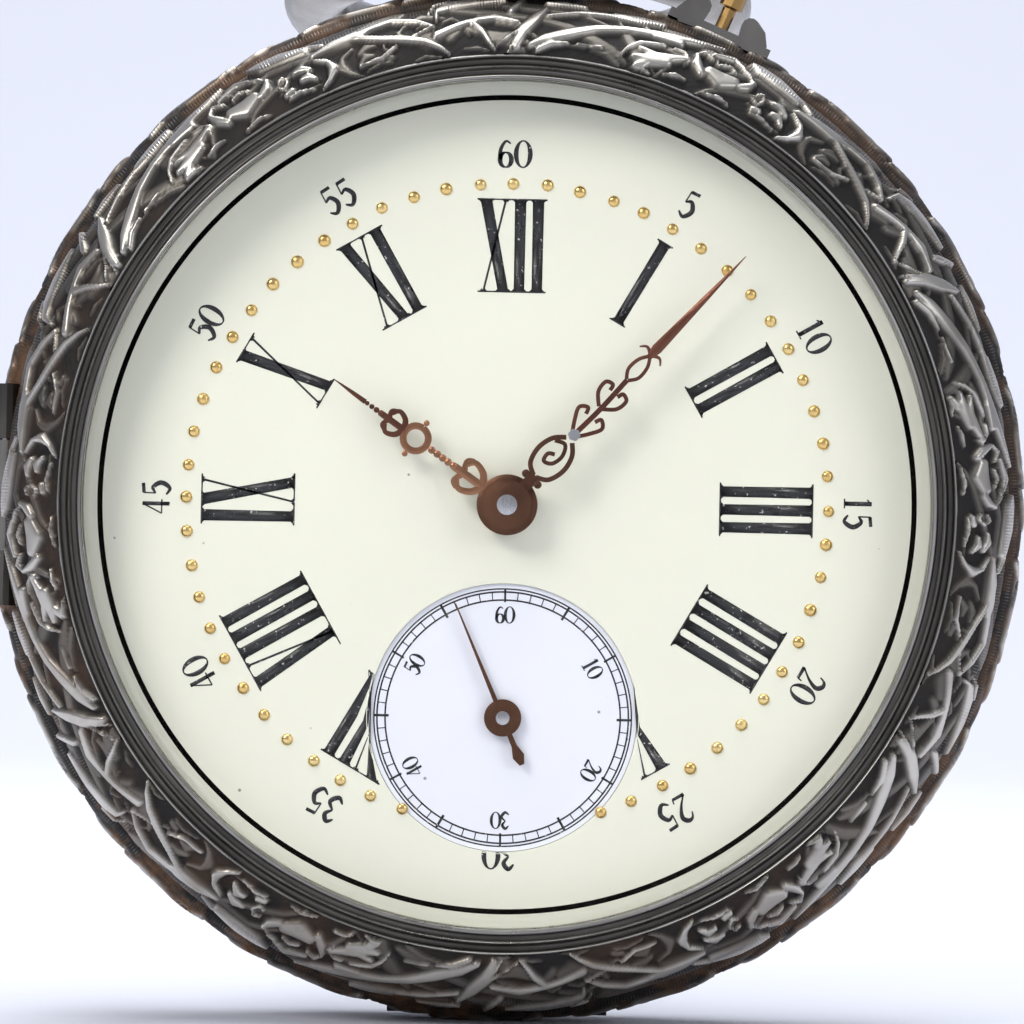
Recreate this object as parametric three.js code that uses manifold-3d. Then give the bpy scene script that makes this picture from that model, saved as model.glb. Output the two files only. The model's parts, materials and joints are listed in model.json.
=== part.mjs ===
// Open-face pocket watch with a pin-set, pendant-wound movement and seconds at six.
// Millimetres. The watch stands upright: +Z towards twelve, +X towards three, and the
// dial faces -Y. The origin is on the hands' axis, at the middle of the case band.
// Inside the group "watch" a local frame is used: x to three, y to twelve, z to the viewer.
import * as THREE from "three";
import { mergeVertices } from "three/addons/utils/BufferGeometryUtils.js";
import Module from "manifold-3d";

const wasm = await Module();
wasm.setup();

// ---- driving dimensions -------------------------------------------------------------
const bandRadius = 25.5; // widest point of the case band
const seamRadius = 24.9; // outer edge of both covers, where they meet the band
const bandHalfWidth = 1.45; // band seam height each way from its middle
const seamGap = 0.1;
const caseBore = 21.7; // clear bore of the band, round the movement
const frontRimRadius = 23.2; // rim that the bezel snaps over
const frontRimHeight = 2.6;
const rearRimRadius = 22.9; // rim that the inner cover snaps over
const rearRimHeight = 3.4;
const snapGap = 0.1; // radial gap between a rim and the cover on it
const coverWall = 0.6;
const bezelOpening = 20.75;
const bezelHeight = 6.4; // top of the bezel's inner lip
const crystalHeight = 8.0; // top of the crystal's dome
const crystalWall = 0.45;
const crystalSeat = 5.5; // floor of the bezel's groove for the crystal
const backHeight = 7.4; // flat of the back cover
const backFlatRadius = 10;
const hingeRadius = 0.6; // knuckle outside
const pinRadius = 0.22;
const pinGap = 0.05;
const hingeHalfLength = 5.5;
const hingeInner = 2.7; // half-length of the moving knuckles
const cuvetteKnuckle = 1.1; // half-length of the inner cover's knuckle

const plateRadius = 21.2;
const plateBack = 0.8; // height of the main plate's rear face
const plateFront = 2.0;
const dialRadius = 21.3;
const dialBack = 2.75;
const dialFront = 3.6;
const subDialRadius = 6.6;
const subDialFront = 3.45;
const subDialDrop = 10.5; // seconds axis below the hands' axis
const bridgeFront = -1.7;
const bridgeBack = -2.7;
const bridgeRadius = 20.9;
const pivotGap = 0.08;
const fitGap = 0.05; // running gap of hubs and bores

const hourHandLength = 10.5;
const minuteHandLength = 16.9;
const secondsHandLength = 6.1;
const hourHandAngle = 304.8; // clockwise from twelve, at rest
const minuteHandAngle = 42.7;
const secondsHandAngle = 336.4;
const handThickness = 0.15;

const pendantRadius = 3.2;
const pendantFoot = bandRadius + 0.05;
const pendantTop = pendantFoot + 4.05;
const bowAxis = pendantFoot + 1.85; // height of the bow's pivots
const bowRingRadius = 10.4; // to the middle of the wire
const bowWire = 1.65; // wire radius
const bowTilt = 10; // degrees below level, towards the back, at rest
const crownRadius = 4.25;
const crownBottom = pendantTop + 0.4;
const crownTop = crownBottom + 6.6;
const stemRadius = 0.6;
const pusherAngle = 23; // clockwise from twelve
const pusherPin = 0.35;

const degree = Math.PI / 180;
const roundSegments = 36;
const smallSegments = 8;

// ---- wheel train ---------------------------------------------------------------------
const centre = { x: 0, y: 0 };
const barrel = { x: -6.2, y: 6.52 };
const third = { x: 4.29, y: -5.78 };
const fourth = { x: 0, y: -subDialDrop };
const escape = { x: -5.3, y: -12.6 };
const balance = { x: -11, y: -6.5 };
const balanceRadius = 7;
const minuteWork = { x: 1.55, y: 2.685 };
const setting = { x: 0.9, y: 11.04 };
const crownWheelAt = { x: 0, y: 13.1 };

const apart = (a, b) => Math.hypot(a.x - b.x, a.y - b.y);
const moduleOf = (a, b, teethA, teethB) => (2 * apart(a, b)) / (teethA + teethB);

// ---- geometry helpers ----------------------------------------------------------------
function solidOf(geometry) {
  const bare = geometry.index ? geometry.toNonIndexed() : geometry.clone();
  bare.deleteAttribute("normal");
  bare.deleteAttribute("uv");
  const merged = mergeVertices(bare, 1e-4);
  return new wasm.Manifold(
    new wasm.Mesh({
      numProp: 3,
      vertProperties: merged.attributes.position.array,
      triVerts: new Uint32Array(merged.index.array),
    }),
  );
}

function geometryOf(solid) {
  const mesh = solid.getMesh();
  const geometry = new THREE.BufferGeometry();
  geometry.setAttribute("position", new THREE.BufferAttribute(mesh.vertProperties, 3));
  geometry.setIndex(new THREE.BufferAttribute(mesh.triVerts, 1));
  geometry.computeVertexNormals();
  return geometry;
}

const join = (...geometries) => geometries.map(solidOf).reduce((a, b) => a.add(b));
const cut = (solid, ...geometries) => geometries.reduce((a, g) => a.subtract(solidOf(g)), solid);

// Points of a regular polygon that stands for a circle.
function circle(radius, segments, at = centre) {
  return Array.from({ length: segments }, (_, i) => {
    const a = (2 * Math.PI * i) / segments;
    return new THREE.Vector2(at.x + radius * Math.cos(a), at.y + radius * Math.sin(a));
  });
}

// A flat outline raised from height low to height high, with holes through it.
function prism(outline, low, high, holes = []) {
  const shape = new THREE.Shape(outline);
  shape.holes = holes.map((points) => new THREE.Path(points));
  const geometry = new THREE.ExtrudeGeometry(shape, { depth: high - low, bevelEnabled: false });
  return geometry.translate(0, 0, low);
}

// A profile of [radius, height] pairs turned about the z axis. A profile off the axis closes
// on itself, and its order is put right so that the faces look outwards.
function turned(profile, segments = roundSegments) {
  const points = profile.map(([r, z]) => new THREE.Vector2(r, z));
  if (!(profile[0][0] === 0 && profile.at(-1)[0] === 0)) points.push(points[0].clone());
  if (THREE.ShapeUtils.area(points) < 0) points.reverse();
  return new THREE.LatheGeometry(points, segments).rotateX(Math.PI / 2);
}

const rod = (radius, low, high, at = centre, segments = smallSegments) =>
  prism(circle(radius, segments, at), low, high);

const block = (x0, x1, y0, y1, z0, z1) =>
  new THREE.BoxGeometry(x1 - x0, y1 - y0, z1 - z0).translate((x0 + x1) / 2, (y0 + y1) / 2, (z0 + z1) / 2);

// A bar with round ends of their own radii, from point a to point b.
function bar(a, b, radiusA, radiusB, low, high, steps = 4) {
  const heading = Math.atan2(b.y - a.y, b.x - a.x);
  const lean = Math.acos((radiusA - radiusB) / apart(a, b));
  const outline = [];
  const arc = (at, radius, from, to) => {
    for (let i = 0; i <= steps; i++) {
      const t = from + ((to - from) * i) / steps;
      outline.push(new THREE.Vector2(at.x + radius * Math.cos(t), at.y + radius * Math.sin(t)));
    }
  };
  arc(b, radiusB, heading - lean, heading + lean);
  arc(a, radiusA, heading + lean, heading + 2 * Math.PI - lean);
  return prism(outline, low, high);
}

// A ribbon of constant thickness wound in a flat spiral.
function spiral(inner, outer, turns, thickness, low, high, stepsPerTurn = 12) {
  const steps = Math.round(turns * stepsPerTurn);
  const edge = (offset) =>
    Array.from({ length: steps + 1 }, (_, i) => {
      const a = (2 * Math.PI * i) / stepsPerTurn;
      const r = inner + ((outer - inner) * i) / steps + offset;
      return new THREE.Vector2(r * Math.cos(a), r * Math.sin(a));
    });
  return prism([...edge(-thickness / 2), ...edge(thickness / 2).reverse()], low, high);
}

// Rod along the local y axis, such as the stem and the hinge pins.
const rodAlongY = (radius, low, high, x = 0, z = 0, segments = smallSegments) =>
  new THREE.CylinderGeometry(radius, radius, high - low, segments).translate(x, (low + high) / 2, z);

// Rod along the local x axis, such as the bow's screws.
const rodAlongX = (radius, low, high, y, z, segments = smallSegments) =>
  new THREE.CylinderGeometry(radius, radius, high - low, segments)
    .rotateZ(Math.PI / 2)
    .translate((low + high) / 2, y, z);

// ---- gears ---------------------------------------------------------------------------
const addendum = 0.75; // in modules
const dedendum = 1.6;

// Turns gear b so that its teeth meet the gaps of gear a.
function meshPhase(a, teethA, phaseA, b, teethB) {
  const toB = Math.atan2(b.y - a.y, b.x - a.x);
  return toB + Math.PI + ((toB - phaseA) * teethA) / teethB + Math.PI / teethB;
}

function toothOutline(teeth, modulus, phase) {
  const pitch = (2 * Math.PI) / teeth;
  const tip = (teeth / 2 + addendum) * modulus;
  const root = (teeth / 2 - dedendum) * modulus;
  const corners = [
    [root, -0.5],
    [tip, -0.07],
    [tip, 0.07],
  ];
  const outline = [];
  for (let i = 0; i < teeth; i++)
    for (const [r, share] of corners) {
      const a = phase + (i + share) * pitch;
      outline.push(new THREE.Vector2(r * Math.cos(a), r * Math.sin(a)));
    }
  return outline;
}

// Windows between the spokes of a wheel.
function windows(count, inner, outer, spoke) {
  const steps = 3;
  return Array.from({ length: count }, (_, k) => {
    const outline = [];
    const arc = (radius, from, to) => {
      for (let i = 0; i <= steps; i++) {
        const a = from + ((to - from) * i) / steps;
        outline.push(new THREE.Vector2(radius * Math.cos(a), radius * Math.sin(a)));
      }
    };
    const start = (2 * Math.PI * k) / count;
    const end = start + (2 * Math.PI) / count;
    arc(outer, start + spoke / outer, end - spoke / outer);
    arc(inner, end - spoke / inner, start + spoke / inner);
    return outline;
  });
}

function wheel({ teeth, modulus, low, high, phase = 0, bore, spokes = 0, hub = 1.1, rim = 0.9, spoke = 0.35 }) {
  const holes = [circle(bore, smallSegments)];
  const rimInside = (teeth / 2 - dedendum) * modulus - rim;
  if (spokes) holes.push(...windows(spokes, hub, rimInside, spoke));
  return prism(toothOutline(teeth, modulus, phase), low, high, holes);
}

// Pinion leaves on an arbor of [radius, height] steps.
function pinion({ teeth, modulus, low, high, phase = 0, arbor }) {
  return join(prism(toothOutline(teeth, modulus, phase), low, high), turned(arbor, smallSegments));
}

const plainArbor = (radius, low, high) => [
  [0, low],
  [radius, low],
  [radius, high],
  [0, high],
];

// ---- materials -----------------------------------------------------------------------
const finish = (color, roughness, metalness) =>
  new THREE.MeshStandardMaterial({ color, roughness, metalness });
const silver = finish(0xb8b2a6, 0.35, 1);
const gilt = finish(0xc9a24f, 0.35, 1);
const steel = finish(0x8f9499, 0.3, 1);
const blued = finish(0x2c3a66, 0.3, 1);
const copper = finish(0x8d5232, 0.45, 1);
const enamel = finish(0xf1ece0, 0.15, 0);
const glass = finish(0xeaf2f5, 0.05, 0);
glass.transparent = true;
glass.opacity = 0.25;

const part = new THREE.Group();
const watch = new THREE.Group();
watch.rotation.x = Math.PI / 2; // local z looks along -Y, local y along +Z
part.add(watch);

function add(name, material, shape, at = centre) {
  const geometry = shape.isBufferGeometry ? shape : geometryOf(shape);
  const mesh = new THREE.Mesh(geometry, material);
  mesh.name = name;
  mesh.position.set(at.x, at.y, 0);
  watch.add(mesh);
  return mesh;
}

// ---- case ----------------------------------------------------------------------------
const hingeX = -seamRadius;
const notch = hingeRadius + 0.08;
const knuckle = (low, high, z) => rodAlongY(hingeRadius, low, high, hingeX, z, 12);
const notchCut = (low, high, z) => rodAlongY(notch, low, high, hingeX, z, 12);
const pinBore = (z) =>
  rodAlongY(pinRadius + pinGap, -hingeHalfLength - 1, hingeHalfLength + 1, hingeX, z);
const knuckleGap = 0.08;
const frontHinge = bandHalfWidth;
const rearHinge = -bandHalfWidth;
// The hinges are drawn at nine; the back's is then turned to six, clear of the bow.
const toSix = (shape) => (shape.isBufferGeometry ? shape : geometryOf(shape)).rotateZ(Math.PI / 2);

// Band: bulged outside, plain bore, a rim for each cover, and its hinge knuckles.
function caseMiddle() {
  const bulge = Array.from({ length: 5 }, (_, i) => {
    const a = -Math.PI / 2 + (Math.PI * i) / 4;
    return [seamRadius + (bandRadius - seamRadius) * Math.cos(a), bandHalfWidth * Math.sin(a)];
  });
  const ring = turned([
    [caseBore, -rearRimHeight],
    [rearRimRadius, -rearRimHeight],
    [rearRimRadius, -bandHalfWidth],
    ...bulge,
    [frontRimRadius, bandHalfWidth],
    [frontRimRadius, frontRimHeight],
    [caseBore, frontRimHeight],
  ]);
  const fixedKnuckles = (z) =>
    [-1, 1].map((side) => {
      const ends = [side * (hingeInner + knuckleGap), side * hingeHalfLength].sort((a, b) => a - b);
      return knuckle(ends[0], ends[1], z);
    });
  const knuckles = [...fixedKnuckles(frontHinge), ...fixedKnuckles(rearHinge).map(toSix)];
  const clearOfCovers = [
    notchCut(-hingeInner, hingeInner, frontHinge),
    toSix(notchCut(-hingeInner, hingeInner, rearHinge)),
  ];
  const ringCut = cut(solidOf(ring), ...clearOfCovers);
  const body = knuckles.reduce((a, b) => a.add(solidOf(b)), ringCut);
  const pusherHole = rodAlongY(pusherPin + fitGap, caseBore - 2, bandRadius + 1);
  pusherHole.rotateZ(-pusherAngle * degree);
  return cut(
    body,
    pinBore(frontHinge),
    toSix(pinBore(rearHinge)),
    rodAlongY(stemRadius + 0.1, caseBore - 2, bandRadius + 1),
    pusherHole,
  );
}

// The covers leave room for the band's knuckles and carry their own in the middle.
function hinged(shell, z, spans) {
  const cleared = cut(solidOf(shell), notchCut(-hingeHalfLength - knuckleGap, hingeHalfLength + knuckleGap, z));
  const near = z + Math.sign(z) * 0.12;
  const far = z + Math.sign(z) * 1.9;
  const leafBlock = (...ends) => block(hingeX + 0.1, -frontRimRadius - snapGap - 0.12, ...ends);
  const leaves = spans.map(([low, high]) =>
    join(
      knuckle(low, high, z),
      leafBlock(low, high, Math.min(near, far), Math.max(near, far)),
    ),
  );
  return cut(leaves.reduce((a, b) => a.add(b), cleared), pinBore(z));
}

const ellipseCentre = 20.6;
const ellipseRise = 4.9;
function bezelShell() {
  const half = seamRadius - ellipseCentre;
  const dome = [0, 22, 42, 58, 71].map((deg) => [
    ellipseCentre + half * Math.cos(deg * degree),
    bandHalfWidth + seamGap + ellipseRise * Math.sin(deg * degree),
  ]);
  const skirt = frontRimRadius + snapGap;
  return turned([
    [skirt, bandHalfWidth + seamGap],
    ...dome,
    [21.75, bezelHeight - 0.4],
    [21.35, bezelHeight - 0.1],
    [bezelOpening + 0.1, bezelHeight],
    [bezelOpening, crystalSeat + 0.5],
    [bezelOpening + 0.25, crystalSeat + 0.5],
    [bezelOpening + 0.25, crystalSeat],
    [bezelOpening, crystalSeat],
    [bezelOpening, crystalSeat - 0.4],
    [skirt - 0.9, frontRimHeight + 1.1],
    [skirt, frontRimHeight + 0.15],
  ]);
}

function crystalShell() {
  const edge = bezelOpening + 0.2;
  const wall = bezelOpening - 0.2;
  return turned([
    [0, crystalHeight],
    [8, crystalHeight - 0.15],
    [15, crystalHeight - 0.6],
    [wall - 0.4, crystalHeight - 1.1],
    [wall, crystalSeat + 0.45],
    [edge, crystalSeat + 0.45],
    [edge, crystalSeat + 0.05],
    [wall - crystalWall, crystalSeat + 0.05],
    [wall - 0.4 - crystalWall, crystalHeight - 1.1 - crystalWall],
    [15, crystalHeight - 0.6 - crystalWall],
    [8, crystalHeight - 0.15 - crystalWall],
    [0, crystalHeight - crystalWall],
  ]);
}

const innerCoverLip = 0.35;
function backShell() {
  const inside = rearRimRadius + snapGap + innerCoverLip + 0.2;
  return turned([
    [0, -backHeight],
    [backFlatRadius, -backHeight],
    [15.5, -backHeight + 0.4],
    [19.8, -backHeight + 1.1],
    [22.4, -backHeight + 2],
    [24.2, -backHeight + 3.6],
    [seamRadius, -bandHalfWidth - seamGap],
    [inside, -bandHalfWidth - seamGap],
    [inside, -rearRimHeight],
    [22.9, -rearRimHeight - 1.1],
    [21.9, -backHeight + 2.5],
    [19.5, -backHeight + 1.1 + coverWall],
    [15.4, -backHeight + 0.4 + coverWall],
    [backFlatRadius, -backHeight + coverWall],
    [0, -backHeight + coverWall],
  ]);
}

const cuvetteFloor = -rearRimHeight - 0.85;
function cuvetteShell() {
  const inside = rearRimRadius + snapGap;
  const outside = inside + innerCoverLip;
  return turned([
    [0, cuvetteFloor],
    [inside - 0.5, cuvetteFloor + 0.1],
    [inside, -rearRimHeight - 0.25],
    [inside, -bandHalfWidth - 0.3],
    [outside, -bandHalfWidth - 0.3],
    [outside, -rearRimHeight - 0.3],
    [inside - 0.3, cuvetteFloor - 0.2],
    [0, cuvetteFloor - 0.35],
  ]);
}

function backCover() {
  const spans = [
    [-hingeInner, -cuvetteKnuckle - knuckleGap],
    [cuvetteKnuckle + knuckleGap, hingeInner],
  ];
  const slot = cuvetteKnuckle + knuckleGap;
  return cut(
    hinged(backShell(), rearHinge, spans),
    block(hingeX - 1, -rearRimRadius, -slot, slot, -bandHalfWidth - 1.1, 0),
  );
}

function cuvette() {
  const low = -bandHalfWidth - 0.75;
  const arm = block(hingeX + 0.1, -rearRimRadius - snapGap - 0.15, -cuvetteKnuckle, cuvetteKnuckle, low, low + 0.4);
  const leaf = join(knuckle(-cuvetteKnuckle, cuvetteKnuckle, rearHinge), arm);
  return cut(solidOf(cuvetteShell()).add(leaf), pinBore(rearHinge));
}

add("case_middle", silver, caseMiddle());
add("bezel", silver, hinged(bezelShell(), frontHinge, [[-hingeInner, hingeInner]]));
add("crystal", glass, crystalShell());
add("back_cover", silver, toSix(backCover()));
add("cuvette", silver, toSix(cuvette()));
const hingePin = (z) => rodAlongY(pinRadius, -hingeHalfLength, hingeHalfLength, hingeX, z);
add("bezel_hinge_pin", steel, hingePin(frontHinge));
add("back_hinge_pin", steel, toSix(hingePin(rearHinge)));

// ---- pendant, bow and crown ----------------------------------------------------------
const bowInside = pendantRadius + 0.15;
const bowEye = 1.6; // width of the bow's ends
const bowPinRadius = 0.55;
const upright = (profile, segments = 24) => turned(profile, segments).rotateX(-Math.PI / 2);

function pendant() {
  const bore = stemRadius + 0.1;
  const body = upright([
    [bore, pendantFoot],
    [pendantRadius + 0.1, pendantFoot],
    [pendantRadius - 0.3, pendantFoot + 0.4],
    [pendantRadius, bowAxis - 1],
    [pendantRadius, bowAxis + 1],
    [pendantRadius - 0.6, pendantTop],
    [bore, pendantTop],
  ]);
  const holes = [-1, 1].map((side) => {
    const ends = [side * 2.2, side * 5].sort((a, b) => a - b);
    return rodAlongX(bowPinRadius + fitGap, ends[0], ends[1], bowAxis, 0);
  });
  return cut(solidOf(body), ...holes);
}

// Bow: a round wire ring, open at the pendant, with an eye on each end. It is drawn
// standing up from its pivots and then leant back to its resting tilt.
function bow() {
  const ringCentre = Math.sqrt(bowRingRadius ** 2 - (bowInside + bowEye / 2) ** 2);
  const gapAngle = Math.asin((bowInside + bowEye / 2) / bowRingRadius);
  const steps = 22;
  const route = new THREE.CatmullRomCurve3(
    Array.from({ length: steps + 1 }, (_, i) => {
      const a = -Math.PI / 2 + gapAngle + ((2 * Math.PI - 2 * gapAngle) * i) / steps;
      return new THREE.Vector3(bowRingRadius * Math.cos(a), ringCentre + bowRingRadius * Math.sin(a), 0);
    }),
  );
  const section = new THREE.Shape(circle(bowWire, 8));
  const wire = new THREE.ExtrudeGeometry(section, { steps, bevelEnabled: false, extrudePath: route });
  const eyes = [-1, 1].map((side) => {
    const ends = [side * bowInside, side * (bowInside + bowEye)].sort((a, b) => a - b);
    return rodAlongX(bowWire, ends[0], ends[1], 0, 0, 16);
  });
  const solid = cut(
    join(wire, ...eyes),
    rodAlongX(bowPinRadius + fitGap, -bowInside - bowEye, bowInside + bowEye, 0, 0),
    block(-bowInside, bowInside, -bowWire * 2, bowWire * 1.6, -bowWire * 2, bowWire * 2),
  );
  const geometry = geometryOf(solid);
  return geometry.rotateX(-(90 + bowTilt) * degree).translate(0, bowAxis, 0);
}

function bowPin(side) {
  const ends = [side * 2.3, side * (bowInside + bowEye - 0.1)].sort((a, b) => a - b);
  return rodAlongX(bowPinRadius, ends[0], ends[1], bowAxis, 0);
}

// Crown: a ribbed onion on the stem, with as many ribs as segments in its turning.
function crown() {
  const ribs = 20;
  const body = upright(
    [
      [0, crownBottom],
      [crownRadius - 0.9, crownBottom],
      [crownRadius, crownBottom + 2.4],
      [crownRadius - 0.35, crownBottom + 4],
      [crownRadius - 1.9, crownBottom + 5.5],
      [1.2, crownTop - 0.4],
      [0, crownTop],
    ],
    ribs * 2,
  );
  const position = body.attributes.position;
  for (let i = 0; i < position.count; i++) {
    const x = position.getX(i);
    const z = position.getZ(i);
    const turn = Math.round((Math.atan2(x, z) / Math.PI) * ribs);
    if (turn % 2 !== 0 && Math.hypot(x, z) > 2) position.setXYZ(i, x * 0.93, position.getY(i), z * 0.93);
  }
  return cut(solidOf(body), rodAlongY(stemRadius + 0.03, crownBottom - 1, crownBottom + 2.5));
}

add("pendant", silver, pendant());
add("bow", silver, bow());
add("bow_pin_left", steel, bowPin(-1));
add("bow_pin_right", steel, bowPin(1));
add("crown", silver, crown());

// ---- winding and setting work ---------------------------------------------------------
const crownTeeth = 32;
const ratchetTeeth = 40;
const keylessModule = 0.25;
const windingRadius = 2.0;
const windingLow = 16.75;
const windingHigh = 18.05;
const clutchLow = 14.2;
const clutchHigh = 16.5;
const clutchRadius = 1.35;
const clutchTravel = 0.8;
const wheelBack = -2.65;
const wheelFront = -2.25;

add("winding_stem", steel, rodAlongY(stemRadius, clutchLow - 1.2, crownBottom + 2.4));

function toothedSleeve(radius, low, high, teeth) {
  const outline = toothOutline(teeth, radius / (teeth / 2 + addendum), 0);
  return prism(outline, low, high, [circle(stemRadius + 0.03, smallSegments)]).rotateX(-Math.PI / 2);
}
add("winding_pinion", steel, toothedSleeve(windingRadius, windingLow, windingHigh, 16));

// The clutch has a groove round its middle for the setting lever.
const grooveLow = 15.0;
const grooveHigh = 15.8;
add(
  "sliding_pinion",
  steel,
  upright([
    [stemRadius + 0.03, clutchLow],
    [clutchRadius, clutchLow],
    [clutchRadius, grooveLow],
    [0.95, grooveLow],
    [0.95, grooveHigh],
    [clutchRadius, grooveHigh],
    [clutchRadius, clutchHigh],
    [stemRadius + 0.03, clutchHigh],
  ], smallSegments),
);

const leverPivot = { x: 11.5, y: 13.5 };
const leverNose = { x: 7.35, y: 17.65 };
const leverFork = { x: 1.8, y: (grooveLow + grooveHigh) / 2 };
add(
  "setting_lever",
  steel,
  join(
    bar(leverPivot, leverNose, 0.8, 0.5, -0.2, 0.2),
    bar(leverPivot, { x: 4.5, y: leverFork.y }, 0.8, 0.45, -0.2, 0.2),
    bar({ x: 4.5, y: leverFork.y }, leverFork, 0.44, 0.25, -0.2, 0.2),
    rod(0.5, -0.4, plateBack - pivotGap, leverPivot),
  ),
);

// Pin-set pusher: a headed pin that slides through the band between two guard lobes.
const pusherHead = 0.6;
const pusherTip = 20.65;
function setPusher() {
  const pin = upright([
    [0, pusherTip],
    [pusherPin, pusherTip],
    [pusherPin, bandRadius + 1.6],
    [pusherHead, bandRadius + 1.7],
    [pusherHead, bandRadius + 2.6],
    [0, bandRadius + 2.9],
  ], smallSegments);
  return pin.rotateZ(-pusherAngle * degree);
}
function pusherGuard() {
  const guardHalf = 0.9;
  const low = bandRadius + 0.05;
  const foot = join(
    block(-2.7, 2.7, low, low + 0.45, -guardHalf, guardHalf),
    bar({ x: -1.7, y: low + 0.5 }, { x: -1.3, y: low + 1.1 }, 0.75, 0.45, -guardHalf, guardHalf),
    bar({ x: 1.7, y: low + 0.5 }, { x: 1.3, y: low + 1.1 }, 0.75, 0.45, -guardHalf, guardHalf),
  );
  const band = turned([
    [caseBore, -2],
    [bandRadius + 0.04, -2],
    [bandRadius + 0.04, 2],
    [caseBore, 2],
  ], 96);
  const shaped = cut(foot, band, rodAlongY(pusherPin + fitGap, 20, 30), block(-0.68, 0.68, low + 0.46, 30, -2, 2));
  return geometryOf(shaped).rotateZ(-pusherAngle * degree);
}
add("pusher_guard", silver, pusherGuard());
add("set_pusher", gilt, setPusher());

// ---- dial and hands --------------------------------------------------------------------
const hourTube = 0.85;
const cannonTube = 0.5;
const secondsArbor = 0.24;
add(
  "dial",
  enamel,
  prism(circle(dialRadius, roundSegments), dialBack, dialFront, [
    circle(hourTube + 0.15, smallSegments),
    circle(subDialRadius + fitGap, 32, fourth),
  ]),
);
add(
  "seconds_dial",
  enamel,
  prism(circle(subDialRadius, 32), dialBack, subDialFront, [circle(secondsArbor + 0.1, smallSegments)]),
  fourth,
);

// A hand: a hub, a tail and a blade with a ring or a swelling on it, turned to its hour.
function hand(hub, bore, reach, low, angle, extras) {
  const high = low + handThickness;
  const at = (y) => ({ x: 0, y });
  const pieces = [
    rod(hub, low, high, centre, 16),
    ...extras.map(([from, to, widthFrom, widthTo]) => bar(at(from), at(to), widthFrom, widthTo, low, high, 3)),
  ];
  const solid = cut(join(...pieces), rod(bore, low - 1, high + 1));
  return geometryOf(solid).rotateZ(-angle * degree);
}
const hourHandLow = 4.45;
const minuteHandLow = 5.0;
const secondsHandLow = 3.75;
add("hour_hand", copper, hand(1.5, hourTube + 0.03, hourHandLength, hourHandLow, hourHandAngle, [
  [0.5, 3.2, 0.9, 0.3],
  [3, 4.3, 0.25, 0.75],
  [4.2, hourHandLength - 0.1, 0.7, 0.1],
]));
add("minute_hand", copper, hand(1.2, cannonTube + 0.03, minuteHandLength, minuteHandLow, minuteHandAngle, [
  [0.5, 4, 0.5, 0.8],
  [4, 9, 0.7, 0.55],
  [9, minuteHandLength - 0.1, 0.5, 0.1],
]));
add(
  "seconds_hand",
  copper,
  hand(0.9, secondsArbor + 0.03, secondsHandLength, secondsHandLow, secondsHandAngle, [
    [0, secondsHandLength - 0.08, 0.25, 0.08],
    [0, -2.1, 0.2, 0.4],
  ]),
  fourth,
);

// ---- motion work (under the dial) --------------------------------------------------------
const motionModule = apart(centre, minuteWork) / 20;
const motionLow = 2.05;
const motionHigh = 2.3;
const upperLow = 2.38;
const upperHigh = 2.63;
const minuteTeeth = 30;
const settingTeeth = 26;
const settingAxis = Math.atan2(setting.y - minuteWork.y, setting.x - minuteWork.x);
const intermediateReach = ((minuteTeeth + settingTeeth) / 2) * motionModule;
const intermediate = {
  x: minuteWork.x + intermediateReach * Math.cos(settingAxis),
  y: minuteWork.y + intermediateReach * Math.sin(settingAxis),
};
const settingAt = {
  x: intermediate.x + settingTeeth * motionModule * Math.cos(settingAxis),
  y: intermediate.y + settingTeeth * motionModule * Math.sin(settingAxis),
};
const intermediatePhase = meshPhase(minuteWork, minuteTeeth, 0, intermediate, settingTeeth);

function cannonPinion() {
  const body = join(
    prism(toothOutline(10, motionModule, meshPhase(minuteWork, minuteTeeth, 0, centre, 10)), motionLow, motionHigh),
    rod(cannonTube, motionLow, 5.35),
  );
  return cut(body, rod(0.3, 0, 5));
}
function hourWheel() {
  const outline = toothOutline(32, motionModule, meshPhase(minuteWork, 8, 0, centre, 32));
  return cut(join(prism(outline, upperLow, upperHigh), rod(hourTube, upperLow, 4.75)), rod(cannonTube + 0.06, 0, 6));
}
function minuteWheel() {
  return cut(
    join(
      prism(toothOutline(minuteTeeth, motionModule, 0), motionLow, motionHigh),
      prism(toothOutline(8, motionModule, 0), motionLow, upperHigh),
    ),
    rod(0.3, 0, 5),
  );
}
const motionWheel = { teeth: settingTeeth, modulus: motionModule, low: motionLow, high: motionHigh, bore: 0.3 };
add("cannon_pinion", steel, cannonPinion());
add("minute_wheel", gilt, minuteWheel(), minuteWork);
add("hour_wheel", gilt, hourWheel());
add("intermediate_wheel", steel, wheel({ ...motionWheel, phase: intermediatePhase }), intermediate);
add(
  "setting_wheel",
  steel,
  wheel({ ...motionWheel, phase: meshPhase(intermediate, settingTeeth, intermediatePhase, settingAt, settingTeeth) }),
  settingAt,
);

// ---- plates and bridges --------------------------------------------------------------------
const postRadius = 0.25;
const caseScrews = [
  { x: 18.7, y: -6.4 },
  { x: -18.2, y: 8.2 },
];
function mainPlate() {
  const disc = turned([
    [0, plateBack],
    [plateRadius, plateBack],
    [plateRadius, dialBack - fitGap],
    [plateRadius - 1, dialBack - fitGap],
    [plateRadius - 1, plateFront],
    [0, plateFront],
  ]);
  const posts = [minuteWork, intermediate, settingAt].map((at) => rod(postRadius, plateBack + 0.2, 2.6, at));
  return cut(
    join(disc, ...posts),
    rod(0.6, 0, 3),
    rod(0.5, 0, 3, fourth),
    block(-2.35, 2.35, clutchLow - clutchTravel - 0.3, windingHigh + 0.3, 0, 3),
  );
}

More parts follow.
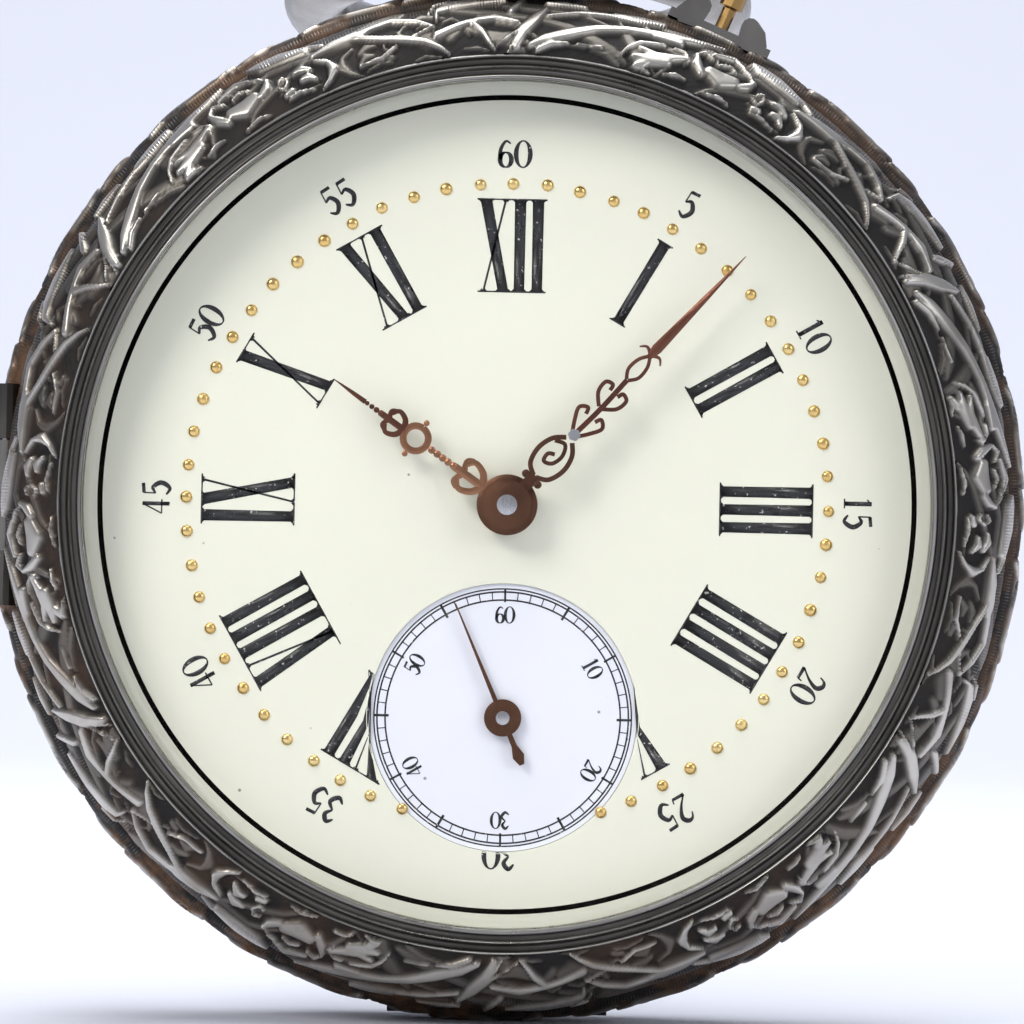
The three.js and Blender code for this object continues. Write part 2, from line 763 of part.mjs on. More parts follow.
const ratchetRadius = 5.4;
const crownWheelRadius = 4.45;
const clickPivot = { x: -13.3, y: 8.4 };
const clickNose = { x: -11.9, y: 7.6 };
const springRoot = { x: -12.2, y: 11.2 };
const cockFoot = { x: -17.0, y: 1.5 };
const barrelFeet = [
  { x: 16.8, y: 4 },
  { x: -12.3, y: 14.2 },
  { x: 14.5, y: 11 },
];
const trainFeet = [
  { x: 14.5, y: -9.5 },
  { x: 5.5, y: -18 },
  { x: -4.2, y: -18.4 },
];
const footRadius = 1.4;
const holeRadius = 0.55;
const screwHead = 0.95;
const sink = 0.3; // screw heads sit this deep in the bridge

function bridge(keep, feet, cuts) {
  const disc = solidOf(rod(bridgeRadius, bridgeBack, bridgeFront, centre, roundSegments));
  const plan = disc.intersect(solidOf(keep));
  const legs = feet.map((at) => solidOf(rod(footRadius, bridgeFront - 0.2, plateBack - fitGap, at)));
  const screws = feet.flatMap((at) => [
    rod(holeRadius, bridgeBack - 1, plateBack - 0.6, at),
    rod(screwHead + 0.1, bridgeBack - 1, bridgeBack + sink, at),
  ]);
  const balanceRoom = rod(balanceRadius + 0.5, -5, 3, balance, 32);
  const trimmed = cut(plan, balanceRoom, ...cuts);
  return cut(legs.reduce((a, b) => a.add(b), trimmed), ...screws);
}
const split = -2.4; // line between the two bridges
const barrelBridge = bridge(
  block(-22, 22, split, 22, -4, 0),
  barrelFeet,
  [
    rod(1.1, -5, 0, barrel),
    rod(ratchetRadius, -5, wheelFront + 0.05, barrel, 32),
    rod(crownWheelRadius, -5, wheelFront + 0.05, crownWheelAt, 32),
    rod(0.45, -5, 0),
    bar(clickPivot, clickNose, 1.35, 1.5, -5, wheelFront + 0.05),
    bar(clickPivot, springRoot, 1.2, 0.8, -5, wheelFront + 0.05),
    block(-2.35, 2.35, windingLow - 0.3, 22, -5, 0),
    bar(cockFoot, balance, 2.6, 2.6, -5, 0),
    block(-22, -7, -12, 0.2, -5, 0),
  ],
);
const trainBridge = bridge(
  block(-8, 22, -22, split - 0.3, -4, 0),
  trainFeet,
  [rod(0.3, -5, 0, third), rod(0.3, -5, 0, fourth), rod(0.3, -5, 0, escape)],
);
const cockFront = -2.95;
const cockBack = -3.6;
function balanceCock() {
  return cut(
    join(
      bar(cockFoot, balance, 2.2, 1.7, cockBack, cockFront),
      rod(2.2, cockBack, plateBack - fitGap, cockFoot, 24),
    ),
    rod(0.25, -5, 0, balance),
    rod(holeRadius, -5, plateBack - 0.6, cockFoot),
    rod(screwHead + 0.1, -5, cockBack + sink, cockFoot),
  );
}
const palletAt = { x: -7.72, y: -10.0 };
const palletFoot = { x: -11.0, y: -13.07 };
function palletCock() {
  return cut(
    join(
      bar(palletFoot, palletAt, 1.3, 0.8, -1.2, -0.55),
      rod(1.3, -1.2, plateBack - fitGap, palletFoot, 16),
    ),
    rod(0.2, -5, 0, palletAt),
  );
}
add("main_plate", gilt, mainPlate());
add("barrel_bridge", gilt, barrelBridge);
add("train_bridge", gilt, trainBridge);
add("balance_cock", gilt, balanceCock());
add("pallet_cock", gilt, palletCock());

function slottedScrew(head, headHeight, shank, top, length) {
  const body = join(rod(shank, top, top + length), rod(head, top - headHeight, top + 0.05, centre, 16));
  return cut(body, block(-head - 1, head + 1, -0.15, 0.15, top - headHeight - 1, top - headHeight + 0.18));
}
const screwTop = bridgeBack + sink - fitGap;
barrelFeet.slice(0, 2).forEach((at, i) =>
  add(`barrel_bridge_screw_${i + 1}`, blued, slottedScrew(screwHead, 0.4, holeRadius - fitGap, screwTop, 2.6), at),
);
trainFeet.slice(0, 2).forEach((at, i) =>
  add(`train_bridge_screw_${i + 1}`, blued, slottedScrew(screwHead, 0.4, holeRadius - fitGap, screwTop, 2.6), at),
);
caseScrews.forEach((at, i) =>
  add(`case_screw_${i + 1}`, blued, slottedScrew(1.5, 0.45, 0.5, plateBack - 1.35, 1.3), at),
);

// ---- going train ------------------------------------------------------------------------------
const arborTop = plateBack - pivotGap;
const arborBottom = bridgeFront + pivotGap;
const barrelTeeth = 64;
const centreTeeth = 64;
const thirdTeeth = 60;
const fourthTeeth = 70;
const barrelModule = moduleOf(barrel, centre, barrelTeeth, 8);
const centreModule = moduleOf(centre, third, centreTeeth, 8);
const thirdModule = moduleOf(third, fourth, thirdTeeth, 8);
const fourthModule = moduleOf(fourth, escape, fourthTeeth, 7);
const arborRadius = 0.3;

const drumRadius = (barrelTeeth / 2 - dedendum) * barrelModule - 0.15;
const drumFront = 0.65;
const drumBack = -0.85;
function barrelDrum() {
  const drum = turned([
    [0.75, drumFront - 0.25],
    [drumRadius - 0.4, drumFront - 0.25],
    [drumRadius - 0.4, drumBack],
    [drumRadius, drumBack],
    [drumRadius, drumFront],
    [0.75, drumFront],
  ], 24);
  const teeth = prism(toothOutline(barrelTeeth, barrelModule, 0), drumFront - 0.45, drumFront, [
    circle(drumRadius - 0.2, 24),
  ]);
  return join(drum, teeth);
}
add("barrel_drum", gilt, barrelDrum(), barrel);
add(
  "barrel_cover",
  gilt,
  prism(circle(drumRadius - 0.45, 24), drumBack, drumBack + 0.25, [circle(0.75, smallSegments)]),
  barrel,
);
add("mainspring", steel, spiral(2.1, drumRadius - 0.75, 4, 0.22, drumBack + 0.35, drumFront - 0.35), barrel);
add(
  "barrel_arbor",
  steel,
  turned([
    [0, wheelFront - 0.1],
    [0.65, wheelFront - 0.1],
    [0.65, drumBack + 0.33],
    [1.7, drumBack + 0.33],
    [1.7, drumFront - 0.33],
    [0.65, drumFront - 0.33],
    [0.65, arborTop],
    [0, arborTop],
  ], smallSegments),
  barrel,
);
function ratchetWheel() {
  const outline = toothOutline(ratchetTeeth, keylessModule, meshPhase(crownWheelAt, crownTeeth, 0, barrel, ratchetTeeth));
  return cut(
    join(prism(outline, wheelBack, wheelFront), rod(1.3, wheelBack - 0.25, wheelBack + 0.1)),
    rod(0.68, wheelFront - 0.2, 0),
  );
}
function crownWheel() {
  const toothed = prism(toothOutline(crownTeeth, keylessModule, 0), wheelBack, wheelFront);
  return join(toothed, rod(1.3, wheelBack - 0.25, wheelBack + 0.1));
}
add("ratchet_wheel", steel, ratchetWheel(), barrel);
add("crown_wheel", steel, crownWheel(), crownWheelAt);

add(
  "click",
  steel,
  join(bar(clickPivot, clickNose, 0.9, 0.25, wheelBack, wheelFront), rod(0.5, wheelBack - 0.2, wheelFront, clickPivot)),
);
const springTip = { x: clickPivot.x + 1.05, y: clickPivot.y + 0.9 };
add("click_spring", blued, join(
  bar(springRoot, springTip, 0.3, 0.1, wheelBack + 0.05, wheelFront - 0.05, 3),
  rod(0.5, wheelBack, wheelFront, springRoot),
));

const centrePhase = meshPhase(barrel, barrelTeeth, 0, centre, 8);
add(
  "centre_arbor",
  steel,
  pinion({
    teeth: 8,
    modulus: barrelModule,
    low: 0.1,
    high: 0.68,
    phase: centrePhase,
    arbor: [
      [0, bridgeBack],
      [0.35, bridgeBack],
      [0.35, 0.3],
      [0.26, 0.5],
      [0.26, 4.9],
      [0, 4.9],
    ],
  }),
);
add("centre_wheel", gilt, wheel({
  teeth: centreTeeth, modulus: centreModule, low: -1.5, high: -1.25, bore: 0.38, spokes: 4,
}));
add(
  "third_pinion",
  steel,
  pinion({
    teeth: 8,
    modulus: centreModule,
    low: -1.6,
    high: -1.1,
    phase: meshPhase(centre, centreTeeth, 0, third, 8),
    arbor: plainArbor(arborRadius, arborBottom, arborTop),
  }),
  third,
);
add("third_wheel", gilt, wheel({
  teeth: thirdTeeth, modulus: thirdModule, low: -0.05, high: 0.2, bore: arborRadius + 0.03, spokes: 4,
}), third);
add(
  "fourth_pinion",
  steel,
  pinion({
    teeth: 8,
    modulus: thirdModule,
    low: -0.25,
    high: 0.4,
    phase: meshPhase(third, thirdTeeth, 0, fourth, 8),
    arbor: [
      [0, arborBottom],
      [arborRadius, arborBottom],
      [arborRadius, 0.6],
      [secondsArbor, 0.8],
      [secondsArbor, secondsHandLow + 0.3],
      [0, secondsHandLow + 0.3],
    ],
  }),
  fourth,
);
add("fourth_wheel", gilt, wheel({
  teeth: fourthTeeth, modulus: fourthModule, low: -0.85, high: -0.65, bore: arborRadius + 0.03, spokes: 4,
}), fourth);
add(
  "escape_pinion",
  steel,
  pinion({
    teeth: 7,
    modulus: fourthModule,
    low: -1.0,
    high: -0.5,
    phase: meshPhase(fourth, fourthTeeth, 0, escape, 7),
    arbor: plainArbor(0.2, arborBottom, arborTop),
  }),
  escape,
);

// Escape wheel: fifteen leaning club teeth on a spoked rim.
const escapeRadius = 2.6;
const escapeTeeth = 15;
function escapeWheel() {
  const step = (2 * Math.PI) / escapeTeeth;
  const tooth = [
    [1.95, 0],
    [escapeRadius - 0.12, 0.42],
    [escapeRadius, 0.62],
    [1.95, 0.35],
  ];
  const outline = [];
  for (let i = 0; i < escapeTeeth; i++)
    for (const [r, share] of tooth) {
      const a = (i + share) * step;
      outline.push(new THREE.Vector2(r * Math.cos(a), r * Math.sin(a)));
    }
  return prism(outline, -0.1, 0.1, [circle(0.23, smallSegments), ...windows(4, 0.65, 1.6, 0.16)]);
}
add("escape_wheel", steel, escapeWheel(), escape);

// ---- escapement and balance ---------------------------------------------------------------------
const towards = (from, to, reach, turn = 0) => {
  const a = Math.atan2(to.y - from.y, to.x - from.x) + turn * degree;
  return { x: from.x + reach * Math.cos(a), y: from.y + reach * Math.sin(a) };
};
const forkEnd = towards(palletAt, balance, 3.0);
function palletFork() {
  const stones = [-34, 34].map((turn) => towards(escape, palletAt, escapeRadius + 0.3, turn));
  const horns = [-9, 9].map((turn) => towards(palletAt, balance, 3.75, turn));
  return join(
    ...stones.map((at) => bar(palletAt, at, 0.35, 0.2, -0.12, 0.12, 3)),
    bar(palletAt, forkEnd, 0.32, 0.22, -0.12, 0.12, 3),
    ...horns.map((at) => bar(forkEnd, at, 0.21, 0.12, -0.12, 0.12, 3)),
    rod(0.18, -1.2, arborTop, palletAt),
  );
}
add("pallet_fork", steel, palletFork());

const rimWidth = 0.7;
const rimFront = -1.78;
const rimBack = -2.3;
const staffRadius = 0.3;
function balanceWheel() {
  const rim = prism(circle(balanceRadius, 36), rimBack, rimFront, [circle(balanceRadius - rimWidth, 36)]);
  const arm = block(-balanceRadius + 0.3, balanceRadius - 0.3, -0.4, 0.4, rimBack + 0.12, rimFront - 0.12);
  return cut(join(rim, arm, rod(0.9, rimBack + 0.1, rimFront - 0.1)), rod(staffRadius + 0.03, -5, 3));
}
function balanceStaff() {
  const rollerPin = towards(centre, { x: palletAt.x - balance.x, y: palletAt.y - balance.y }, 0.8);
  return join(
    turned([
      [0, cockFront + 0.1],
      [staffRadius, cockFront + 0.1],
      [staffRadius, -0.65],
      [1.1, -0.65],
      [1.1, -0.4],
      [staffRadius, -0.4],
      [staffRadius, arborTop],
      [0, arborTop],
    ], smallSegments),
    rod(0.12, -0.45, -0.16, rollerPin),
  );
}
add("balance_wheel", gilt, balanceWheel(), balance);
add("balance_staff", steel, balanceStaff(), balance);
add("hairspring", blued, spiral(0.75, 3.9, 4, 0.08, -2.72, -2.45), balance);
add(
  "regulator",
  steel,
  cut(
    join(
      rod(1.5, cockBack - 0.25, cockBack - 0.05, balance, 16),
      bar(balance, towards(balance, cockFoot, 5.2, 160), 0.5, 0.12, cockBack - 0.25, cockBack - 0.05, 3),
    ),
    rod(0.7, -5, 0, balance),
  ),
);

export default part;
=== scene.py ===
import json
import math

import bmesh
import bpy
import numpy as np
from mathutils import Matrix, Vector


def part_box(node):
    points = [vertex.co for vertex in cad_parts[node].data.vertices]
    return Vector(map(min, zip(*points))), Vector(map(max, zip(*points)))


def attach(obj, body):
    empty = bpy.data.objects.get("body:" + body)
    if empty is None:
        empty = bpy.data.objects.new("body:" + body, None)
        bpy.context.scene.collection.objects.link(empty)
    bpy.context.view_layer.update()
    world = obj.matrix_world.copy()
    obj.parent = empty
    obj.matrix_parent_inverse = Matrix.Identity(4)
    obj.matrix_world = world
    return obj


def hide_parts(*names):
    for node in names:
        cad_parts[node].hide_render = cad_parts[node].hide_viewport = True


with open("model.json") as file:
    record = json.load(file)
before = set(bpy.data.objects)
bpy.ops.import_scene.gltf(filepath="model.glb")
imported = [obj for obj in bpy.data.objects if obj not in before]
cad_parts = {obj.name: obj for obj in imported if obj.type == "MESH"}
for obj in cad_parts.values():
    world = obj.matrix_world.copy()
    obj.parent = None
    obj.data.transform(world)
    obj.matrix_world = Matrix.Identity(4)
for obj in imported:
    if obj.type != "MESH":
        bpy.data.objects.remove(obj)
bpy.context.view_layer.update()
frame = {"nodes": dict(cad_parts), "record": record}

# pieces are drawn in millimetres facing the viewer: x to three, y to twelve, z out of the dial
toFrame = Matrix(((0.001, 0, 0, 0), (0, 0, -0.001, 0), (0, 0.001, 0, 0), (0, 0, 0, 1)))
secondsAt = Vector((0, -10.5, 0))
hourAngle, minuteAngle, secondsAngle = 304.8, 42.7, 336.4  # clockwise from twelve, at rest


# ---------- materials

def newGroup(name, inputs, outputs):
    group = bpy.data.node_groups.new(name, "ShaderNodeTree")
    for label, value in inputs:
        socket = group.interface.new_socket(label, in_out="INPUT", socket_type="NodeSocketFloat")
        socket.default_value = value
    for label, kind in outputs:
        group.interface.new_socket(label, in_out="OUTPUT", socket_type=kind)
    return group, group.nodes.new("NodeGroupInput"), group.nodes.new("NodeGroupOutput")


class Nodes:  # short ways to add and join nodes in one tree
    def __init__(self, tree):
        self.tree = tree

    def add(self, kind, **settings):
        node = self.tree.nodes.new(kind)
        for key, value in settings.items():
            setattr(node, key, value)
        return node

    def join(self, output, target):
        self.tree.links.new(output, target)

    def feed(self, socket, value):
        if isinstance(value, bpy.types.NodeSocket):
            self.join(value, socket)
        else:
            socket.default_value = value

    def math(self, operation, a, b=None):
        node = self.add("ShaderNodeMath", operation=operation)
        self.feed(node.inputs[0], a)
        if b is not None:
            self.feed(node.inputs[1], b)
        return node.outputs[0]

    def noise(self, scale, detail=4.0, rough=0.5, vector=None):
        node = self.add("ShaderNodeTexNoise")
        node.inputs["Scale"].default_value = scale
        node.inputs["Detail"].default_value = detail
        node.inputs["Roughness"].default_value = rough
        self.join(vector or self.coords(), node.inputs["Vector"])
        return node.outputs["Fac"]

    def coords(self):
        for node in self.tree.nodes:
            if node.type == "TEX_COORD":
                return node.outputs["Object"]
        return self.add("ShaderNodeTexCoord").outputs["Object"]

    def span(self, value, low, high, outLow=0.0, outHigh=1.0):
        node = self.add("ShaderNodeMapRange")
        node.clamp = True
        for index, item in enumerate((value, low, high, outLow, outHigh)):
            self.feed(node.inputs[index], item)
        return node.outputs[0]

    def ramp(self, value, stops):
        node = self.add("ShaderNodeValToRGB")
        ramp = node.color_ramp
        while len(ramp.elements) < len(stops):
            ramp.elements.new(0.5)
        for element, (place, colour) in zip(ramp.elements, stops):
            element.position = place
            element.color = (*colour, 1)
        self.join(value, node.inputs[0])
        return node.outputs[0]

    def mix(self, share, a, b, kind="MIX"):
        node = self.add("ShaderNodeMix", data_type="RGBA", blend_type=kind)
        self.feed(node.inputs[0], share)
        self.feed(node.inputs[6], a if isinstance(a, bpy.types.NodeSocket) else (*a, 1))
        self.feed(node.inputs[7], b if isinstance(b, bpy.types.NodeSocket) else (*b, 1))
        return node.outputs[2]

    def bump(self, height, distance, strength=1.0):
        node = self.add("ShaderNodeBump")
        node.inputs["Strength"].default_value = strength
        node.inputs["Distance"].default_value = distance
        self.join(height, node.inputs["Height"])
        return node.outputs["Normal"]


def buildWearGroup():
    # fine scratches and soft blotches shared by every metal
    group, source, sink = newGroup(
        "handlingWear",
        [("Scratch Scale", 900.0), ("Blotch Scale", 160.0)],
        [("Scratches", "NodeSocketFloat"), ("Blotches", "NodeSocketFloat")],
    )
    n = Nodes(group)
    stretch = n.add("ShaderNodeMapping")
    stretch.inputs["Scale"].default_value = (1.0, 1.0, 0.12)
    stretch.inputs["Rotation"].default_value = (0.3, 0.9, 0.5)
    n.join(n.coords(), stretch.inputs["Vector"])
    for label, vector, detail, target in (
        ("Scratch Scale", stretch.outputs[0], 3.0, "Scratches"),
        ("Blotch Scale", n.coords(), 5.0, "Blotches"),
    ):
        noise = n.add("ShaderNodeTexNoise")
        noise.inputs["Detail"].default_value = detail
        n.join(source.outputs[label], noise.inputs["Scale"])
        n.join(vector, noise.inputs["Vector"])
        n.join(noise.outputs["Fac"], sink.inputs[target])
    return group


wearGroup = buildWearGroup()


def newMaterial(name):
    material = bpy.data.materials.new(name)
    material.use_nodes = True
    n = Nodes(material.node_tree)
    shader = material.node_tree.nodes["Principled BSDF"]
    return material, n, shader


def wear(n, scratchScale=900.0, blotchScale=160.0):
    node = n.add("ShaderNodeGroup")
    node.node_tree = wearGroup
    node.inputs["Scratch Scale"].default_value = scratchScale
    node.inputs["Blotch Scale"].default_value = blotchScale
    return node.outputs["Scratches"], node.outputs["Blotches"]


def metal(name, light, dark, roughness=0.3, scratch=900.0, bumpDepth=2e-6):
    # a worn metal whose colour wanders between two tones
    material, n, shader = newMaterial(name)
    scratches, blotches = wear(n, scratch)
    tone = n.span(blotches, 0.35, 0.68)
    n.join(n.mix(tone, light, dark), shader.inputs["Base Color"])
    n.join(n.span(scratches, 0.3, 0.75, roughness - 0.07, roughness + 0.12), shader.inputs["Roughness"])
    n.join(n.bump(scratches, bumpDepth), shader.inputs["Normal"])
    shader.inputs["Metallic"].default_value = 1.0
    return material


def castSilver():
    # dark oxide in the recesses, worn silver on the raised leaves, brown stains at the rim
    look = {
        "recess": (0.018, 0.016, 0.015),
        "slope": (0.085, 0.078, 0.068),
        "raised": (0.27, 0.25, 0.22),
        "crest": (0.56, 0.535, 0.485),
        "stain": (0.19, 0.10, 0.05),
    }
    material, n, shader = newMaterial("castSilver")
    relief = n.add("ShaderNodeAttribute", attribute_name="relief").outputs["Fac"]
    hatch = n.add("ShaderNodeAttribute", attribute_name="hatch").outputs["Fac"]
    stain = n.add("ShaderNodeAttribute", attribute_name="stain").outputs["Fac"]
    scratches, blotches = wear(n, 700.0, 260.0)
    split = n.add("ShaderNodeSeparateXYZ")
    n.join(n.coords(), split.inputs[0])
    around = n.math("ARCTAN2", split.outputs["X"], split.outputs["Z"])
    lines = n.math("SINE", n.math("MULTIPLY", around, 980.0))
    wavering = n.math("MULTIPLY", n.span(lines, -0.2, 1.0), n.span(n.noise(1500.0, 2.0), 0.35, 0.6))
    cut = n.math("MULTIPLY", wavering, hatch)
    worn = n.math("ADD", relief, n.math("MULTIPLY", n.span(blotches, 0.3, 0.7, -0.16, 0.16), relief))
    level = n.math("MAXIMUM", worn, n.math("MULTIPLY", cut, 0.5))
    tones = [(0.0, look["recess"]), (0.35, look["slope"]), (0.72, look["raised"]), (1.0, look["crest"])]
    colour = n.ramp(level, tones)
    patch = n.math("MULTIPLY", stain, n.span(n.noise(420.0, 5.0, 0.65), 0.42, 0.62))
    n.join(n.mix(patch, colour, look["stain"]), shader.inputs["Base Color"])
    n.join(n.span(level, 0.0, 0.8, 0.62, 0.33), shader.inputs["Roughness"])
    n.join(n.span(level, 0.0, 0.5, 0.55, 1.0), shader.inputs["Metallic"])
    grain = n.math("ADD", n.math("MULTIPLY", cut, 0.6), n.math("MULTIPLY", scratches, 0.35))
    n.join(n.bump(grain, 3e-5), shader.inputs["Normal"])
    return material


def enamelLook(name, colour):
    # glassy enamel with dark pinhole specks
    material, n, shader = newMaterial(name)
    cells = n.add("ShaderNodeTexVoronoi")
    cells.inputs["Scale"].default_value = 620.0
    n.join(n.coords(), cells.inputs["Vector"])
    dot = n.span(cells.outputs["Distance"], 0.035, 0.06, 1.0, 0.0)
    chosen = n.math("MULTIPLY", dot, n.span(n.noise(900.0, 1.0), 0.56, 0.6))
    tint = n.mix(n.span(n.noise(70.0, 3.0), 0.3, 0.7), colour, tuple(c * 0.965 for c in colour))
    n.join(n.mix(n.math("MULTIPLY", chosen, 0.75), tint, (0.1, 0.09, 0.08)), shader.inputs["Base Color"])
    n.join(n.bump(n.noise(180.0, 2.0), 6e-6, 0.6), shader.inputs["Normal"])
    shader.inputs["Roughness"].default_value = 0.16
    shader.inputs["Coat Weight"].default_value = 0.3
    return material


def inkLook():
    # fired black paint with pale worn specks
    material, n, shader = newMaterial("dialInk")
    speck = n.span(n.noise(5200.0, 2.0, 0.6), 0.66, 0.72)
    n.join(n.mix(speck, (0.016, 0.016, 0.017), (0.55, 0.53, 0.5)), shader.inputs["Base Color"])
    n.join(n.span(n.noise(800.0), 0.3, 0.7, 0.22, 0.42), shader.inputs["Roughness"])
    return material


def glassLook(name, roughness=0.0):
    material, n, shader = newMaterial(name)
    shader.inputs["Base Color"].default_value = (1, 1, 1, 1)
    shader.inputs["Transmission Weight"].default_value = 1.0
    shader.inputs["IOR"].default_value = 1.05
    shader.inputs["Roughness"].default_value = roughness
    shader.inputs["Metallic"].default_value = 0.0
    return material


silverCast = castSilver()
silverPlain = metal("wornSilver", (0.38, 0.36, 0.33), (0.20, 0.185, 0.165), 0.27, 500.0, 4e-6)
silverBright = metal("rubbedSilver", (0.42, 0.41, 0.385), (0.25, 0.24, 0.22), 0.3, 700.0)
silverDark = metal("oxidisedSilver", (0.07, 0.066, 0.06), (0.15, 0.14, 0.125), 0.4, 600.0, 5e-6)
handCopper = metal("agedCopper", (0.20, 0.085, 0.055), (0.09, 0.04, 0.03), 0.36, 2200.0, 3e-6)
handGold = metal("copperGilt", (0.42, 0.22, 0.12), (0.22, 0.10, 0.06), 0.33, 2200.0, 3e-6)
handRust = metal("rustBrown", (0.17, 0.085, 0.05), (0.07, 0.035, 0.025), 0.5, 2600.0, 6e-6)
greySteel = metal("greySteel", (0.60, 0.60, 0.60), (0.42, 0.42, 0.43), 0.28)
bluedSteel = metal("bluedSteel", (0.04, 0.06, 0.26), (0.025, 0.03, 0.14), 0.22)
pinBrass = metal("dullBrass", (0.42, 0.27, 0.10), (0.24, 0.13, 0.05), 0.36, 2200.0)
giltBrass = metal("giltBrass", (0.86, 0.64, 0.29), (0.74, 0.51, 0.21), 0.34, 1500.0, 3e-6)
goldDot = metal("dialGold", (0.93, 0.70, 0.30), (0.80, 0.52, 0.17), 0.25, 3000.0)
dialInk = inkLook()
dialEnamel = enamelLook("dialEnamel", (0.83, 0.83, 0.685))
subEnamel = enamelLook("secondsEnamel", (0.83, 0.845, 0.90))
crystalGlass = glassLook("crystalGlass")


# ---------- mesh helpers

def finishPiece(name, bm, material, body, replaces=(), smooth=35):
    # places a finished piece in the frame, gives it its materials and ties it to its body
    bmesh.ops.transform(bm, matrix=toFrame, verts=bm.verts)
    mesh = bpy.data.meshes.new(name)
    bm.to_mesh(mesh)
    bm.free()
    piece = bpy.data.objects.new(name, mesh)
    bpy.context.scene.collection.objects.link(piece)
    for entry in material if isinstance(material, (list, tuple)) else [material]:
        mesh.materials.append(entry)
    mesh.shade_smooth()
    if smooth:
        mesh.set_sharp_from_angle(angle=math.radians(smooth))
    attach(piece, body)
    if replaces:
        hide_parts(*replaces)
    return piece


def spun(profile, steps, closed=True):
    # turns a profile of (radius, height) about the dial axis
    bm = bmesh.new()
    verts = [bm.verts.new((r, 0, z)) for r, z in profile]
    pairs = list(zip(verts, verts[1:])) + ([(verts[-1], verts[0])] if closed else [])
    edges = [bm.edges.new(pair) for pair in pairs]
    bmesh.ops.spin(
        bm, geom=verts + edges, cent=(0, 0, 0), axis=(0, 0, 1), dvec=(0, 0, 0),
        angle=2 * math.pi, steps=steps, use_merge=True, use_duplicate=False,
    )
    bmesh.ops.remove_doubles(bm, verts=bm.verts, dist=1e-5)
    bmesh.ops.recalc_face_normals(bm, faces=bm.faces)
    return bm


def ribbon(bm, points, halfWidths, low, high, crown=0.0, slot=0):
    # a flat bar along a line of (x, y) points, with its own half-width at each, and a ridge along its middle
    rows = []
    for i, (x, y) in enumerate(points):
        before = Vector(points[max(i - 1, 0)])
        after = Vector(points[min(i + 1, len(points) - 1)])
        along = (after - before).normalized()
        side = Vector((-along.y, along.x)) * halfWidths[i]
        rows.append([
            bm.verts.new((x + side.x, y + side.y, low)),
            bm.verts.new((x + side.x, y + side.y, high)),
            bm.verts.new((x, y, high + crown * min(1.0, halfWidths[i] / 0.2))),
            bm.verts.new((x - side.x, y - side.y, high)),
            bm.verts.new((x - side.x, y - side.y, low)),
        ])
    faces = []
    for a, b in zip(rows, rows[1:]):
        faces += [bm.faces.new((a[k], a[(k + 1) % 5], b[(k + 1) % 5], b[k])) for k in range(5)]
    faces += [bm.faces.new(rows[0]), bm.faces.new(rows[-1][::-1])]
    for face in faces:
        face.material_index = slot
    return faces


def disc(bm, at, radius, low, high, segments=24, slot=0, dome=0.0):
    made = bmesh.ops.create_cone(
        bm, cap_ends=True, segments=segments, radius1=radius, radius2=radius, depth=high - low,
        matrix=Matrix.Translation((at[0], at[1], (low + high) / 2)),
    )
    verts = made["verts"]
    faces = {face for vert in verts for face in vert.link_faces}
    if dome:
        top = [face for face in faces if face.normal.z > 0.9]
        inner = bmesh.ops.inset_region(bm, faces=top, thickness=radius * 0.45, use_even_offset=True)
        for face in top:
            for vert in face.verts:
                vert.co.z += dome
        faces |= set(inner["faces"])
    for face in faces:
        if face.is_valid:
            face.material_index = slot
    return verts


def arcPoints(cx, cy, radius, start, end, steps):
    # points of an arc, in degrees anticlockwise from the x axis
    return [
        (cx + radius * math.cos(math.radians(start + (end - start) * i / steps)),
         cy + radius * math.sin(math.radians(start + (end - start) * i / steps)))
        for i in range(steps + 1)
    ]


def smoothLine(points, steps=6):
    # a rounded line through the points
    if len(points) < 3:
        return points
    line = []
    padded = [points[0]] + list(points) + [points[-1]]
    for i in range(1, len(padded) - 2):
        p0, p1, p2, p3 = (np.array(p, float) for p in padded[i - 1:i + 3])
        for k in range(steps):
            t = k / steps
            line.append(tuple(0.5 * ((2 * p1) + (p2 - p0) * t + (2 * p0 - 5 * p1 + 4 * p2 - p3) * t * t
                                     + (3 * p1 - p0 - 3 * p2 + p3) * t ** 3)))
    line.append(tuple(points[-1]))
    return line


def turnVerts(bm, angle, at=(0, 0, 0)):
    # turns what is drawn clockwise about the dial axis and moves it to its arbor
    bmesh.ops.rotate(bm, verts=bm.verts, cent=(0, 0, 0), matrix=Matrix.Rotation(-math.radians(angle), 3, "Z"))
    bmesh.ops.translate(bm, verts=bm.verts, vec=at)


# ---------- foliage relief on the case

